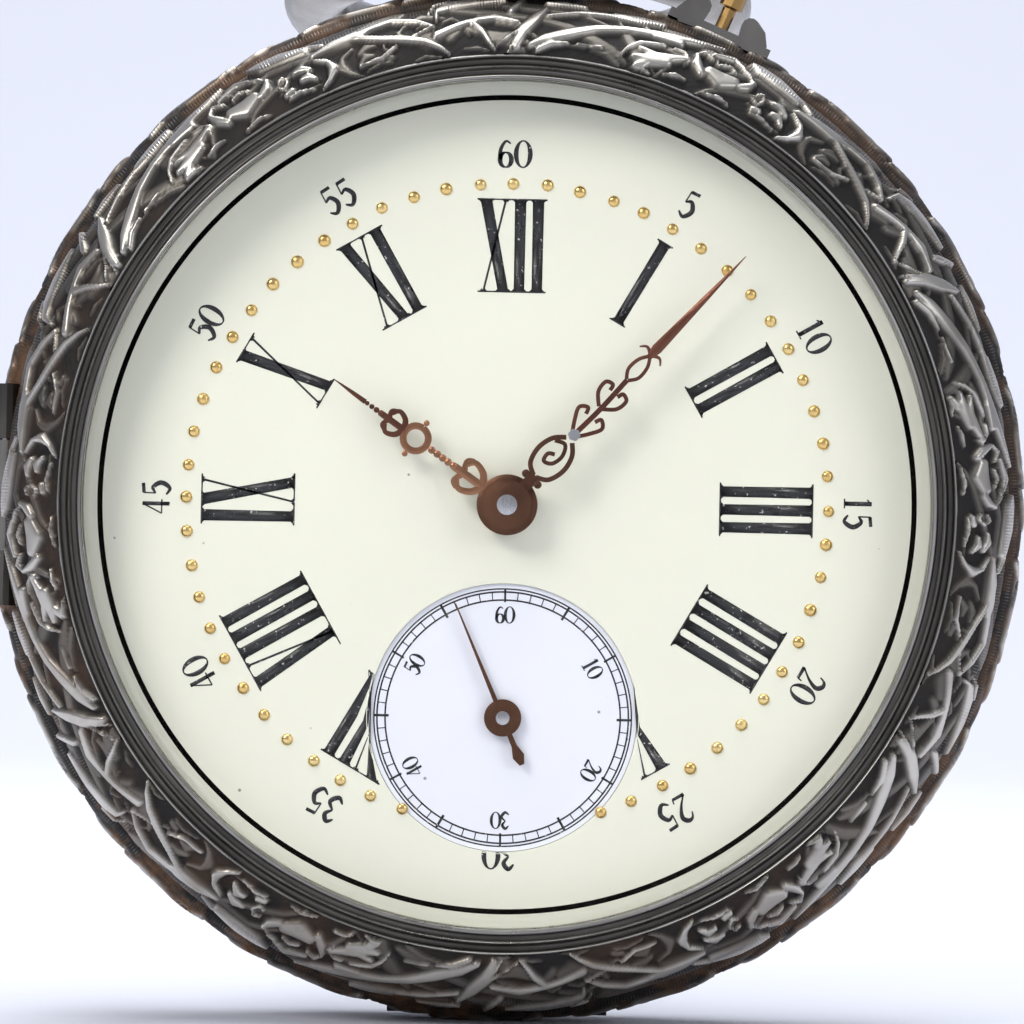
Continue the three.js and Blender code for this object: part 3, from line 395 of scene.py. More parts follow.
# each leaf: points of (degrees from its flower, millimetres from the inner edge), then half-widths
leaves = [
    (((-1.9, 1.25), (-0.2, 1.1), (1.5, 1.3)), (0.26, 0.44, 0.28)),
    (((-4.0, 1.75), (-3.5, 1.35), (-2.7, 1.0)), (0.12, 0.25, 0.2)),
    (((3.7, 1.75), (3.2, 1.45), (2.2, 1.2)), (0.1, 0.22, 0.18)),
    (((-3.9, 1.8), (-3.2, 2.05), (-2.0, 1.85)), (0.07, 0.08, 0.06)),
    (((-2.3, 2.1), (0.3, 2.35), (1.8, 2.15)), (0.07, 0.13, 0.07)),
    (((1.6, 2.1), (2.8, 1.98), (3.6, 1.6)), (0.07, 0.08, 0.06)),
    (((-1.0, 1.75), (0.2, 1.9), (1.2, 1.75)), (0.05, 0.07, 0.05)),
    (((-12.2, 0.55), (-11.6, 1.0), (-10.4, 1.4), (-8.6, 1.55), (-7.6, 1.62)), (0.06, 0.1, 0.1, 0.09, 0.05)),
    (((-10.2, 1.15), (-8.2, 1.0), (-6.3, 1.15), (-4.7, 1.38)), (0.1, 0.2, 0.2, 0.12)),
    (((-6.6, 1.62), (-5.4, 1.62), (-4.4, 1.35), (-4.9, 1.1)), (0.05, 0.06, 0.06, 0.05)),
    (((-10.8, 0.7), (-8.6, 0.75), (-6.8, 0.9)), (0.13, 0.3, 0.25)),
    (((-10.3, 0.3), (-9.3, 0.5)), (0.15, 0.25)),
    (((-10.6, 0.16), (-9.5, 0.22), (-8.4, 0.1)), (0.05, 0.1, 0.05)),
    (((-6.8, 0.28), (-5.6, 0.42), (-4.2, 0.42)), (0.05, 0.1, 0.05)),
    (((-1.6, 0.12), (0.6, 0.3), (2.0, 0.18)), (0.05, 0.09, 0.05)),
    (((9.6, 1.6), (11.2, 1.3), (11.6, 0.9), (10.8, 0.45), (9.4, 0.12)), (0.06, 0.13, 0.26, 0.13, 0.05)),
    (((6.8, 1.4), (8.0, 1.45), (9.0, 1.25)), (0.08, 0.19, 0.12)),
    (((7.4, 0.95), (8.4, 1.0), (9.2, 0.72)), (0.12, 0.2, 0.12)),
    (((4.9, 0.62), (5.9, 0.7)), (0.14, 0.16)),
    (((4.5, 1.05), (5.2, 0.92), (5.8, 1.2), (5.4, 1.48), (4.6, 1.38)), (0.07, 0.08, 0.07, 0.06, 0.05)),
    (((5.0, 0.38), (6.6, 0.48), (8.6, 0.3)), (0.05, 0.09, 0.05)),
    (((2.2, 2.66), (3.4, 2.6), (6.0, 2.5), (9.2, 2.28)), (0.06, 0.25, 0.3, 0.2)),
    (((9.6, 2.35), (11.4, 2.12)), (0.09, 0.08)),
    (((9.6, 1.8), (12.5, 1.98), (15.2, 2.03), (16.5, 2.05)), (0.05, 0.2, 0.24, 0.14)),
    (((16.5, 2.1), (19.7, 2.22), (22.5, 1.9), (24.3, 1.5)), (0.11, 0.11, 0.12, 0.08)),
    (((15.0, 1.95), (18.0, 1.5), (21.0, 1.15), (23.2, 0.85), (24.8, 0.45), (25.8, 0.1)),
     (0.1, 0.13, 0.16, 0.15, 0.11, 0.06)),
    (((-21.4, 1.9), (-17.5, 2.25), (-14.0, 2.4)), (0.06, 0.08, 0.08)),
    (((-13.8, 2.45), (-11.0, 2.55), (-8.4, 2.66)), (0.14, 0.21, 0.12)),
    (((-21.8, 2.58), (-19.4, 2.66), (-16.8, 2.6)), (0.05, 0.11, 0.05)),
    (((-1.2, 2.62), (-4.0, 2.4), (-8.0, 2.12), (-12.0, 1.9),
      (-15.4, 1.6), (-18.6, 1.15), (-21.5, 0.75), (-23.4, 0.4)),
     (0.05, 0.13, 0.19, 0.15, 0.2, 0.28, 0.27, 0.15)),
    (((-9.0, 1.93), (-6.0, 2.0)), (0.1, 0.15)),
    (((-22.4, 0.2), (-20.6, 0.55), (-18.4, 0.66)), (0.14, 0.14, 0.06)),
    (((-17.4, 0.68), (-14.4, 0.73)), (0.06, 0.06)),
    (((-25.2, 0.3), (-24.4, 1.1), (-22.8, 1.75), (-21.4, 2.3)), (0.2, 0.34, 0.3, 0.1)),
    (((-26.0, 2.1), (-24.4, 2.72)), (0.18, 0.14)),
    (((14.8, 0.5), (17.6, 0.56), (19.6, 0.95)), (0.06, 0.09, 0.06)),
    (((24.4, 1.05), (27.2, 1.4), (28.8, 1.55)), (0.2, 0.15, 0.14)),
    (((29.0, 1.55), (30.2, 1.1), (31.0, 0.6), (31.8, 0.2)), (0.17, 0.17, 0.13, 0.07)),
    (((21.8, 1.2), (24.4, 1.55)), (0.05, 0.05)),
    (((24.7, 1.9), (25.0, 2.3), (26.6, 2.52), (29.6, 2.66), (33.4, 2.66)), (0.08, 0.14, 0.21, 0.2, 0.06)),
    (((23.9, 2.2), (24.6, 2.6), (26.6, 2.75)), (0.05, 0.05, 0.05)),
    (((29.4, 1.6), (32.0, 1.75), (35.0, 1.5)), (0.12, 0.18, 0.12)),
    (((32.0, 0.3), (34.4, 0.95), (36.2, 1.45)), (0.05, 0.05, 0.05)),
    (((33.8, 0.1), (34.6, 0.7), (36.4, 1.5)), (0.05, 0.09, 0.08)),
]

scrolls = [  # the band's lighter scrollwork: degrees in its repeat, millimetres from the band's middle
    (((-9.0, -0.95), (-6.0, -0.2), (-2.5, 0.65), (1.5, 0.75), (3.6, 0.15), (2.2, -0.4), (0.2, -0.15)),
     (0.1, 0.2, 0.26, 0.22, 0.17, 0.14, 0.16)),
    (((3.8, 0.9), (6.4, 0.5), (8.4, -0.3), (9.4, -1.0)), (0.08, 0.22, 0.2, 0.08)),
    (((-7.6, 0.9), (-6.0, 0.55)), (0.22, 0.14)),
    (((-2.6, -0.9), (-0.6, -0.85), (1.6, -1.0)), (0.08, 0.2, 0.08)),
    (((5.2, -0.85), (6.2, -0.45)), (0.22, 0.1)),
]


def carve(turn, across, strokes, repeat, radius, shift=0.0):
    # height from 0 to 1 of the raised leaves at each (turn in degrees, across in millimetres)
    perDegree = math.radians(1) * radius
    height = np.zeros_like(turn)
    for points, widths in strokes:
        middle = sum(p[0] for p in points) / len(points)
        local = (turn - shift - middle + repeat / 2) % repeat - repeat / 2 + middle
        near = np.abs(local - middle) < 14
        u, v = local[near] * perDegree, across[near]
        best = np.zeros_like(u)
        for (a, b), (wa, wb) in zip(zip(points, points[1:]), zip(widths, widths[1:])):
            ax, ay, bx, by = a[0] * perDegree, a[1], b[0] * perDegree, b[1]
            dx, dy = bx - ax, by - ay
            t = np.clip(((u - ax) * dx + (v - ay) * dy) / (dx * dx + dy * dy), 0, 1)
            width = wa + (wb - wa) * t
            gone = np.hypot(u - ax - t * dx, v - ay - t * dy) / (width * 1.15)
            edge = np.clip((1.3 - gone) / 0.75, 0, 1)
            swell = 0.78 + 0.22 * np.clip(1 - gone * gone, 0, 1)
            best = np.maximum(best, edge * edge * (3 - 2 * edge) * swell)
        height[near] = np.maximum(height[near], best)
    return height


def relieve(piece, strokes, repeat, radius, depth, acrossOf, normalOf, hatchOf, stainOf, shift=25.4):
    # raises the leaves on a finished ring and stores what its patina follows
    mesh = piece.data
    count = len(mesh.vertices)
    places = np.empty(count * 3)
    mesh.vertices.foreach_get("co", places)
    places = places.reshape(-1, 3) * 1000
    x, y, z = places[:, 0], places[:, 2], -places[:, 1]
    r = np.hypot(x, y)
    turn = np.degrees(np.arctan2(x, y)) % 360
    across = acrossOf(r, z)
    sway = 0.35 * np.sin(np.radians(turn * 7 + 40)) + 0.25 * np.sin(np.radians(turn * 13))
    level = carve(turn + sway, across + 0.03 * np.sin(np.radians(turn * 11)), strokes, repeat, radius, shift)
    under = carve(-turn + sway * 2, across + 0.1, strokes, repeat, radius, shift * 0.4)
    level = np.maximum(level, 0.5 * under * (1 - 0.6 * level))
    ground = 0.06 * np.sin(turn * 9.1 + across * 23) * np.sin(turn * 4.3 - across * 31)
    raised = (level + ground * (1 - level)) * depth
    nr, nz = normalOf(r, z)
    r2 = r + nr * raised
    x2, y2, z2 = x * r2 / r, y * r2 / r, z + nz * raised
    mesh.vertices.foreach_set("co", (np.stack([x2, -z2, y2], axis=1) / 1000).ravel())
    for name, values in (("relief", level), ("hatch", hatchOf(r, z, turn)), ("stain", stainOf(r, z, turn))):
        attribute = mesh.attributes.new(name, "FLOAT", "POINT")
        attribute.data.foreach_set("value", values.astype(np.float32))
    mesh.update()


def leftAndBottom(turn):
    # the case is browner at the bottom and on the left
    t = np.radians(turn)
    return np.clip(0.45 - 0.45 * np.cos(t) - 0.35 * np.sin(t), 0, 1)


# ---------- bezel

bezelShape = {
    "seam": 24.88, "seamHeight": 1.55, "centre": 20.6, "reach": 4.28, "rise": 4.9,
    "edge": 22.02, "columns": 1440, "rows": 66, "depth": 0.32,
}


def bezelCurve(degrees):
    s = bezelShape
    return (s["centre"] + s["reach"] * math.cos(math.radians(degrees)),
            s["seamHeight"] + s["rise"] * math.sin(math.radians(degrees)))


def makeBezel():
    s = bezelShape
    last = math.degrees(math.acos((s["edge"] - s["centre"]) / s["reach"]))
    rows = s["rows"]
    arc = [bezelCurve(last * (i / rows) ** 1.15) for i in range(rows + 1)]
    bm = spun(arc, s["columns"], closed=False)
    outward = sum(f.normal.z * f.calc_area() for f in bm.faces)
    if outward < 0:
        bmesh.ops.reverse_faces(bm, faces=bm.faces)
    ornament = finishPiece("bezel_foliage", bm, silverCast, "bezel", smooth=0)

    def normalOf(r, z):
        nr = (r - s["centre"]) / s["reach"] ** 2
        nz = (z - s["seamHeight"]) / s["rise"] ** 2
        size = np.hypot(nr, nz)
        return nr / size, nz / size

    relieve(
        ornament, leaves, 60, 23.6, s["depth"],
        acrossOf=lambda r, z: r - s["edge"],
        normalOf=normalOf,
        hatchOf=lambda r, z, turn: np.clip((r - 24.25) / 0.15, 0, 1),
        stainOf=lambda r, z, turn: 0.25 * leftAndBottom(turn) + 0.5 * np.clip((r - 24.5) / 0.3, 0, 1),
    )
    top = arc[-1][1]
    # the mouldings inside the foliage: a bright bead, a dark channel, a second bead, the lip
    mould = [
        (22.04, top - 0.02), (22.02, top + 0.10), (21.97, top + 0.15),
        (21.91, top + 0.12), (21.87, top + 0.03),
        (21.80, top - 0.08), (21.68, top - 0.13), (21.57, top - 0.08), (21.50, top + 0.03),
        (21.47, top + 0.16), (21.42, top + 0.22), (21.36, top + 0.17), (21.32, top + 0.06),
        (21.22, top + 0.0), (21.10, top + 0.02), (21.03, top + 0.10),
        (20.98, top + 0.22), (20.90, top + 0.25), (20.82, top + 0.22), (20.78, top + 0.12),
        (20.78, 6.02), (21.0, 6.0), (21.0, 5.5), (20.78, 5.5), (20.76, 5.1),
        (22.4, 3.8), (23.32, 2.75), (23.32, 1.56),
        (24.86, 1.56), (24.84, 2.2), (24.3, 3.6), (23.0, 5.0), (22.1, top - 0.3),
    ]
    bm = spun(mould, 360)
    for face in bm.faces:
        r = math.hypot(*face.calc_center_median()[:2])
        z = face.calc_center_median().z
        inChannel = (21.5 < r < 21.87 or 21.04 < r < 21.33) and z > top - 0.2
        face.material_index = 1 if inChannel else 0
    finishPiece("bezel_mouldings", bm, [silverBright, silverDark], "bezel", ("bezel",), smooth=60)


# ---------- band and back cover

def makeBand():
    columns, rows = 1200, 26
    arc = []
    for i in range(rows + 1):
        a = math.radians(-90 + 180 * i / rows)
        arc.append((24.86 + 0.7 * math.cos(a), 1.42 * math.sin(a)))
    bm = spun(arc, columns, closed=False)
    outward = sum(f.normal.xy.dot(f.calc_center_median().xy) for f in bm.faces)
    if outward < 0:
        bmesh.ops.reverse_faces(bm, faces=bm.faces)
    band = finishPiece("band_scrollwork", bm, silverCast, "case", smooth=0)

    def normalOf(r, z):
        size = np.hypot(r - 24.86, z * 0.5)
        return (r - 24.86) / size, z * 0.5 / size

    relieve(
        band, scrolls, 20, 25.4, 0.26,
        acrossOf=lambda r, z: z,
        normalOf=normalOf,
        hatchOf=lambda r, z, turn: np.clip((0.3 - np.abs(np.abs(z) - 1.1)) / 0.2, 0, 1),
        stainOf=lambda r, z, turn: 0.35 + 0.65 * leftAndBottom(turn),
        shift=3.0,
    )


def makeBack():
    columns, rows = 1300, 56
    outline = [(24.88, -1.56), (24.72, -2.4), (24.2, -3.8), (23.4, -4.75), (22.4, -5.4), (21.6, -5.75)]
    arc = smoothLine(outline, rows // 5)
    bm = spun(arc, columns, closed=False)
    outward = sum(f.normal.z * f.calc_area() for f in bm.faces)
    if outward > 0:
        bmesh.ops.reverse_faces(bm, faces=bm.faces)
    border = finishPiece("back_foliage", bm, silverCast, "back_cover", smooth=0)

    def normalOf(r, z):
        a = np.arctan2(-(z + 1.5) * 0.9, r - 20.4)
        return np.cos(a), -np.sin(a)

    relieve(
        border, leaves, 60, 23.6, 0.34,
        acrossOf=lambda r, z: r - 21.95,
        normalOf=normalOf,
        hatchOf=lambda r, z, turn: np.clip((r - 24.25) / 0.15, 0, 1),
        stainOf=lambda r, z, turn: 0.3 * leftAndBottom(turn) + 0.4 * np.clip((r - 24.5) / 0.3, 0, 1),
        shift=0.0,
    )
    shell = [
        (0.0, -7.4), (10.0, -7.4), (15.5, -7.0), (18.0, -6.72), (19.6, -6.40), (20.3, -6.22), (20.36, -6.34),
        (20.5, -6.36), (20.6, -6.14), (21.2, -5.9), (21.35, -5.98), (21.5, -5.96), (21.62, -5.74),
        (22.2, -5.3), (23.3, -4.5), (24.1, -3.6), (24.6, -2.4), (24.8, -1.56), (23.56, -1.56), (23.56, -3.4),
        (22.9, -4.5), (21.9, -4.88), (19.5, -5.68), (15.4, -6.38), (10.0, -6.8), (0.0, -6.8),
    ]
    bm = spun(shell, 300, closed=False)
    finishPiece("back_shell", bm, silverPlain, "back_cover", ("back_cover",), 50)


# ---------- crystal

def makeCrystal():
    # domed glass with a steep bevelled edge
    outer = [(0, 7.98), (5, 7.93), (10, 7.72), (15, 7.36),
             (18.5, 7.05), (19.9, 6.9), (20.2, 6.8), (20.5, 5.96)]
    inner = [(20.05, 5.56), (19.75, 6.42), (18.4, 6.6), (15, 6.92), (10, 7.28), (5, 7.48), (0, 7.53)]
    profile = smoothLine(outer[:6], 4) + outer[6:] + [(20.93, 5.95), (20.93, 5.56)] + inner
    bm = spun(profile, 240, closed=False)
    glass = finishPiece("crystal_glass", bm, crystalGlass, "bezel", ("crystal",), smooth=30)
    glass.visible_shadow = False


# ---------- dial

def radialPlace(bm, verts, angle, radius, at=(0, 0)):
    # moves marks drawn upright at the origin out to their place round the dial, tops outward
    matrix = Matrix.Translation((at[0], at[1], 0)) @ Matrix.Rotation(-math.radians(angle), 4, "Z") \
        @ Matrix.Translation((0, radius, 0))
    bmesh.ops.transform(bm, matrix=matrix, verts=verts)


def stroke(bm, points, widths, low, high):
    faces = ribbon(bm, points, widths, low, high)
    return list({v for f in faces for v in f.verts})


figureLook = {"thin": 0.025, "thick": 0.085}


def swelling(count, power=1):
    # half-widths that go from thin through thick and back along a curve
    thin, thick = figureLook["thin"], figureLook["thick"]
    return [thin + (thick - thin) * math.sin(math.pi * i / (count - 1)) ** power for i in range(count)]


def turningWidths(angles, power=1):
    # half-widths of a closed bowl, thick at its sides
    thin, thick = figureLook["thin"], figureLook["thick"]
    return [thin + (thick - thin) * abs(math.sin(a)) ** power for a in angles]


def digitStrokes(digit):
    # an old-style figure in a box 1 high and 0.6 wide: lists of points with half-widths
    thin, thick = figureLook["thin"], figureLook["thick"]
    if digit == "0":
        angles = np.linspace(0, 2 * math.pi, 25)
        loop = [(0.25 * math.sin(a), 0.5 - 0.47 * math.cos(a)) for a in angles]
        return [(loop, turningWidths(angles, 2))]
    if digit == "1":
        return [
            ([(0.02, 0.02), (0.02, 0.98)], [thick * 0.9] * 2),
            ([(-0.13, 0.82), (0.02, 0.95)], [thin] * 2),
            ([(-0.15, 0.02), (0.19, 0.02)], [thin] * 2),
        ]
    if digit == "2":
        hook = [(-0.2, 0.74), (-0.12, 0.93), (0.05, 0.97), (0.2, 0.78), (0.06, 0.42), (-0.22, 0.06)]
        line = smoothLine(hook, 5)
        return [
            (line, swelling(len(line), 2)),
            ([(-0.22, 0.06), (0.22, 0.06)], [thick * 0.75, thick * 0.6]),
            ([(0.22, 0.06), (0.24, 0.22)], [thin] * 2),
        ]
    if digit == "3":
        upper = smoothLine([(-0.18, 0.8), (0.0, 0.97), (0.17, 0.76), (0.0, 0.53)], 6)
        lower = smoothLine([(0.0, 0.53), (0.23, 0.3), (0.02, 0.03), (-0.2, 0.18)], 6)
        return [(upper, swelling(len(upper))), (lower, swelling(len(lower)))]
    if digit == "4":
        return [
            ([(0.1, 0.02), (0.1, 0.98)], [thick * 0.8] * 2),
            ([(0.1, 0.98), (-0.24, 0.3)], [thin] * 2),
            ([(-0.24, 0.3), (0.25, 0.3)], [thin] * 2),
        ]
    if digit == "5":
        bowl = smoothLine([(-0.15, 0.52), (0.05, 0.62), (0.22, 0.33), (0.03, 0.03), (-0.2, 0.15)], 6)
        return [
            (bowl, swelling(len(bowl))),
            ([(-0.15, 0.52), (-0.14, 0.95)], [thin] * 2),
            ([(-0.14, 0.93), (0.2, 0.96)], [thick * 0.7] * 2),
        ]
    angles = np.linspace(0, 2 * math.pi, 21)
    bowl = [(0.01 + 0.2 * math.sin(a), 0.29 - 0.26 * math.cos(a)) for a in angles]
    stem = smoothLine([(0.18, 0.86), (0.0, 0.94), (-0.17, 0.66), (-0.19, 0.3)], 6)
    growing = [thin + (thick - thin) * i / (len(stem) - 1) for i in range(len(stem))]
    return [(bowl, turningWidths(angles)), (stem, growing)]


def writeNumber(bm, text, angle, radius, size, low, at=(0, 0), gap=0.62):
    verts = []
    for place, digit in enumerate(text):
        offset = (place - (len(text) - 1) / 2) * gap * size
        for points, widths in digitStrokes(digit):
            moved = [(offset + px * size, (py - 0.5) * size) for px, py in points]
            verts += stroke(bm, moved, [w * size for w in widths], low, low + 0.012)
    radialPlace(bm, verts, angle, radius, at)


romanLook = {"low": 10.5, "high": 15.05, "bar": 0.265, "thin": 0.05, "serif": 0.04, "print": 0.012}


def romanGlyph(letter):
    # (half-width of the letter's box, strokes); a stroke is (x at bottom, x at top, half-width)
    s = romanLook
    if letter == "I":
        return 0.44, [(0, 0, s["bar"])]
    if letter == "V":
        return 0.74, [(0.04, -0.44, s["bar"]), (0.0, 0.52, s["thin"])]
    return 0.80, [(0.46, -0.46, s["bar"]), (-0.52, 0.52, s["thin"])]


def writeRoman(bm, text, angle, dialTop):
    s = romanLook
    middle = (s["low"] + s["high"]) / 2
    half = (s["high"] - s["low"]) / 2
    glyphs = [romanGlyph(letter) for letter in text]
    x = -sum(g[0] for g in glyphs)
    verts = []
    top = dialTop + s["print"]
    for halfWidth, strokes in glyphs:
        x += halfWidth
        for bottomX, topX, width in strokes:
            flare = 1.06
            verts += stroke(bm, [(x + bottomX, -half), (x + (bottomX + topX) / 2, 0), (x + topX, half)],
                            [width * 0.97, width, width * flare], dialTop - 0.01, top)
            for end, endX in ((-half, bottomX), (half, topX)):
                reach = width + 0.17
                inward = -0.09 if end > 0 else 0.09
                verts += stroke(bm, [(x + endX - reach, end), (x + endX + reach, end)],
                                [s["serif"]] * 2, dialTop - 0.01, top + 0.001)
                for sideways in (-1, 1):
                    verts += stroke(bm, [(x + endX + sideways * width * 0.85, end + inward),
                                         (x + endX + sideways * (width + 0.12), end)],
                                    [0.07, 0.02], dialTop - 0.01, top)
        x += halfWidth
    # hairlines that close the numeral at both ends
    span = sum(g[0] for g in glyphs)
    for end in (-half, half):
        verts += stroke(bm, [(-span, end), (span, end)], [s["serif"] * 0.8] * 2, dialTop - 0.01, top + 0.0015)
    radialPlace(bm, verts, angle, middle)


def flatWithHoles(outline, holes, height, thickness):
    # a plate with round holes
    bm = bmesh.new()
    for radius, at, segments in [outline] + holes:
        place = Matrix.Translation((at[0], at[1], height))
        bmesh.ops.create_circle(bm, segments=segments, radius=radius, matrix=place)
    made = bmesh.ops.triangle_fill(bm, use_beauty=True, edges=bm.edges[:])
    faces = [g for g in made["geom"] if isinstance(g, bmesh.types.BMFace)]
    bmesh.ops.dissolve_limit(bm, angle_limit=0.001, verts=bm.verts[:], edges=[])
    bmesh.ops.recalc_face_normals(bm, faces=bm.faces)
    if bm.faces[0].normal.z < 0:
        bmesh.ops.reverse_faces(bm, faces=bm.faces)
    grown = bmesh.ops.extrude_face_region(bm, geom=bm.faces[:])
    verts = [g for g in grown["geom"] if isinstance(g, bmesh.types.BMVert)]
    kept = set(verts)
    old = [v for v in bm.verts if v not in kept]
    bmesh.ops.translate(bm, verts=old, vec=(0, 0, -thickness))
    bmesh.ops.recalc_face_normals(bm, faces=bm.faces)
    return bm


def makeDial():
    top = 3.6
    bm = flatWithHoles((21.3, (0, 0), 180), [(1.0, (0, 0), 48), (6.62, secondsAt[:2], 128)], top, 0.85)
    finishPiece("dial_enamel", bm, dialEnamel, "case", ("dial",), 30)
    ink = bmesh.new()
    numerals = ["XII", "I", "II", "III", "IIII", "V", "", "VII", "VIII", "IX", "X", "XI"]
    for hour, text in enumerate(numerals):
        if text:
            writeRoman(ink, text, hour * 30, top)
    for mark in range(12):
        writeNumber(ink, str(mark * 5 or 60), mark * 30, 17.3, 1.4, top)
    trimToDial(ink)
    finishPiece("dial_numerals", ink, dialInk, "case", smooth=0)
    dots = bmesh.new()
    wobble = np.random.default_rng(5)
    for minute in range(60):
        if not 27 < minute < 33:
            a = math.radians(minute * 6 + wobble.normal(0, 0.12))
            r = 15.85 + wobble.normal(0, 0.02)
            made = bmesh.ops.create_icosphere(dots, subdivisions=2, radius=0.31 + wobble.normal(0, 0.012))
            bmesh.ops.scale(dots, verts=made["verts"], vec=(1, 1, 0.55))
            bmesh.ops.translate(dots, verts=made["verts"], vec=(r * math.sin(a), r * math.cos(a), top))
    finishPiece("minute_dots", dots, goldDot, "case", smooth=60)


def trimToDial(bm):
    # what would run under the sunk seconds dial is cut away at its edge
    inside = [v for v in bm.verts if (v.co.xy - secondsAt.xy).length < 6.62]
    radius = 6.66
    for vert in inside:
        outward = vert.co.xy - secondsAt.xy
        moved = secondsAt.xy + outward.normalized() * radius
        vert.co.x, vert.co.y = moved.x, moved.y
    bmesh.ops.dissolve_degenerate(bm, dist=1e-5, edges=bm.edges[:])


def makeSecondsDial():
    top = 3.45
    at = secondsAt[:2]
    bm = flatWithHoles((6.6, at, 128), [(0.34, at, 32)], top, 0.7)
    finishPiece("seconds_enamel", bm, subEnamel, "case", ("seconds_dial",), 30)
    rim = spun([(6.66, 3.44), (6.62, 3.58), (6.7, 3.615), (6.82, 3.6), (6.82, 3.44)], 160)
    bmesh.ops.translate(rim, verts=rim.verts, vec=secondsAt)
    finishPiece("seconds_step", rim, dialEnamel, "case", smooth=60)
    ink = bmesh.new()
    for radius, width in ((6.35, 0.035), (6.2, 0.04), (5.8, 0.04)):
        stroke(ink, arcPoints(at[0], at[1], radius, 0, 360, 160), [width] * 161, top - 0.01, top + 0.01)
    for second in range(60):
        a = math.radians(second * 6)
        low, high, width = 5.8, 6.2, 0.025
        if second % 5 == 0:
            low, high, width = (5.62, 6.35, 0.06) if second % 10 else (5.7, 6.35, 0.05)
        ends = [(at[0] + r * math.sin(a), at[1] + r * math.cos(a)) for r in (low, high)]
        stroke(ink, ends, [width] * 2, top - 0.01, top + 0.011)
    for mark in range(6):
        writeNumber(ink, str(mark * 10 or 60), mark * 60, 5.07, 0.86, top, at, 0.56)
    finishPiece("seconds_track", ink, dialInk, "case", smooth=0)


# ---------- hands

def wirePath(bm, points, width, low, high, slot=0, crown=0.05, taper=None):
    line = smoothLine(points, 6)
    last = len(line) - 1
    widths = [width * (taper(i / last) if taper else 1.0) for i in range(last + 1)]
    ribbon(bm, line, widths, low, high, crown, slot)


def mirrored(points):
    return [(-x, y) for x, y in points]


def makeMinuteHand():
    low, high = 5.0, 5.15
    bm = bmesh.new()
    disc(bm, (0, 0), 1.2, low, high + 0.1, 40, 1, 0.14)
    disc(bm, (0, 0), 0.5, low, 5.42, 24, 2, 0.03)
    wirePath(bm, [(0, 1.0), (0, 2.0)], 0.3, low, high, 1, taper=lambda t: 1 - 0.35 * math.sin(math.pi * t))
    for ear in (-1, 1):
        disc(bm, (ear * 0.4, 1.75), 0.2, low, high + 0.02, 16, 1, 0.05)
    for side in (lambda p: p, mirrored):
        oval = [(0.08, 1.95), (0.62, 2.3), (0.84, 3.1), (0.66, 3.9), (0.2, 4.4)]
        wirePath(bm, side(oval), 0.12, low, high, 1)
        wirePath(bm, side([(0.1, 4.7), (0.5, 5.3), (0.78, 5.9), (0.45, 6.2), (0.3, 5.9)]), 0.10, low, high)
        wirePath(bm, side([(0.1, 6.6), (0.62, 7.1), (0.7, 7.7), (0.35, 7.85), (0.25, 7.55)]), 0.10, low, high)
        wirePath(bm, side([(0.05, 8.5), (0.34, 8.95), (0.3, 9.6), (0.05, 10.05)]), 0.09, low, high)
        barb = [(0.05, 10.2), (0.42, 10.35), (0.7, 10.1)]
        wirePath(bm, side(barb), 0.10, low, high, taper=lambda t: 1.1 - 0.75 * t)
    wirePath(bm, [(-0.5, 3.9), (0.0, 4.1), (0.3, 3.6), (0.2, 3.0), (-0.2, 2.8), (-0.3, 3.2), (-0.02, 3.4)],
             0.1, low, high, 1)
    disc(bm, (0, 4.75), 0.32, low, high + 0.05, 6, 2)
    wirePath(bm, [(0, 5.0), (0.05, 6.6), (0, 8.5)], 0.13, low, high)
    blade = [(0, 9.95), (0, 10.6), (0, 12.0), (0, 14.5), (0, 16.9)]
    ribbon(bm, blade, [0.12, 0.27, 0.22, 0.13, 0.02], low, high, 0.08)
    turnVerts(bm, minuteAngle)
    bmesh.ops.recalc_face_normals(bm, faces=bm.faces)
    metals = [handCopper, handRust, greySteel]
    finishPiece("minute_hand_pierced", bm, metals, "centre", ("minute_hand",), 40)


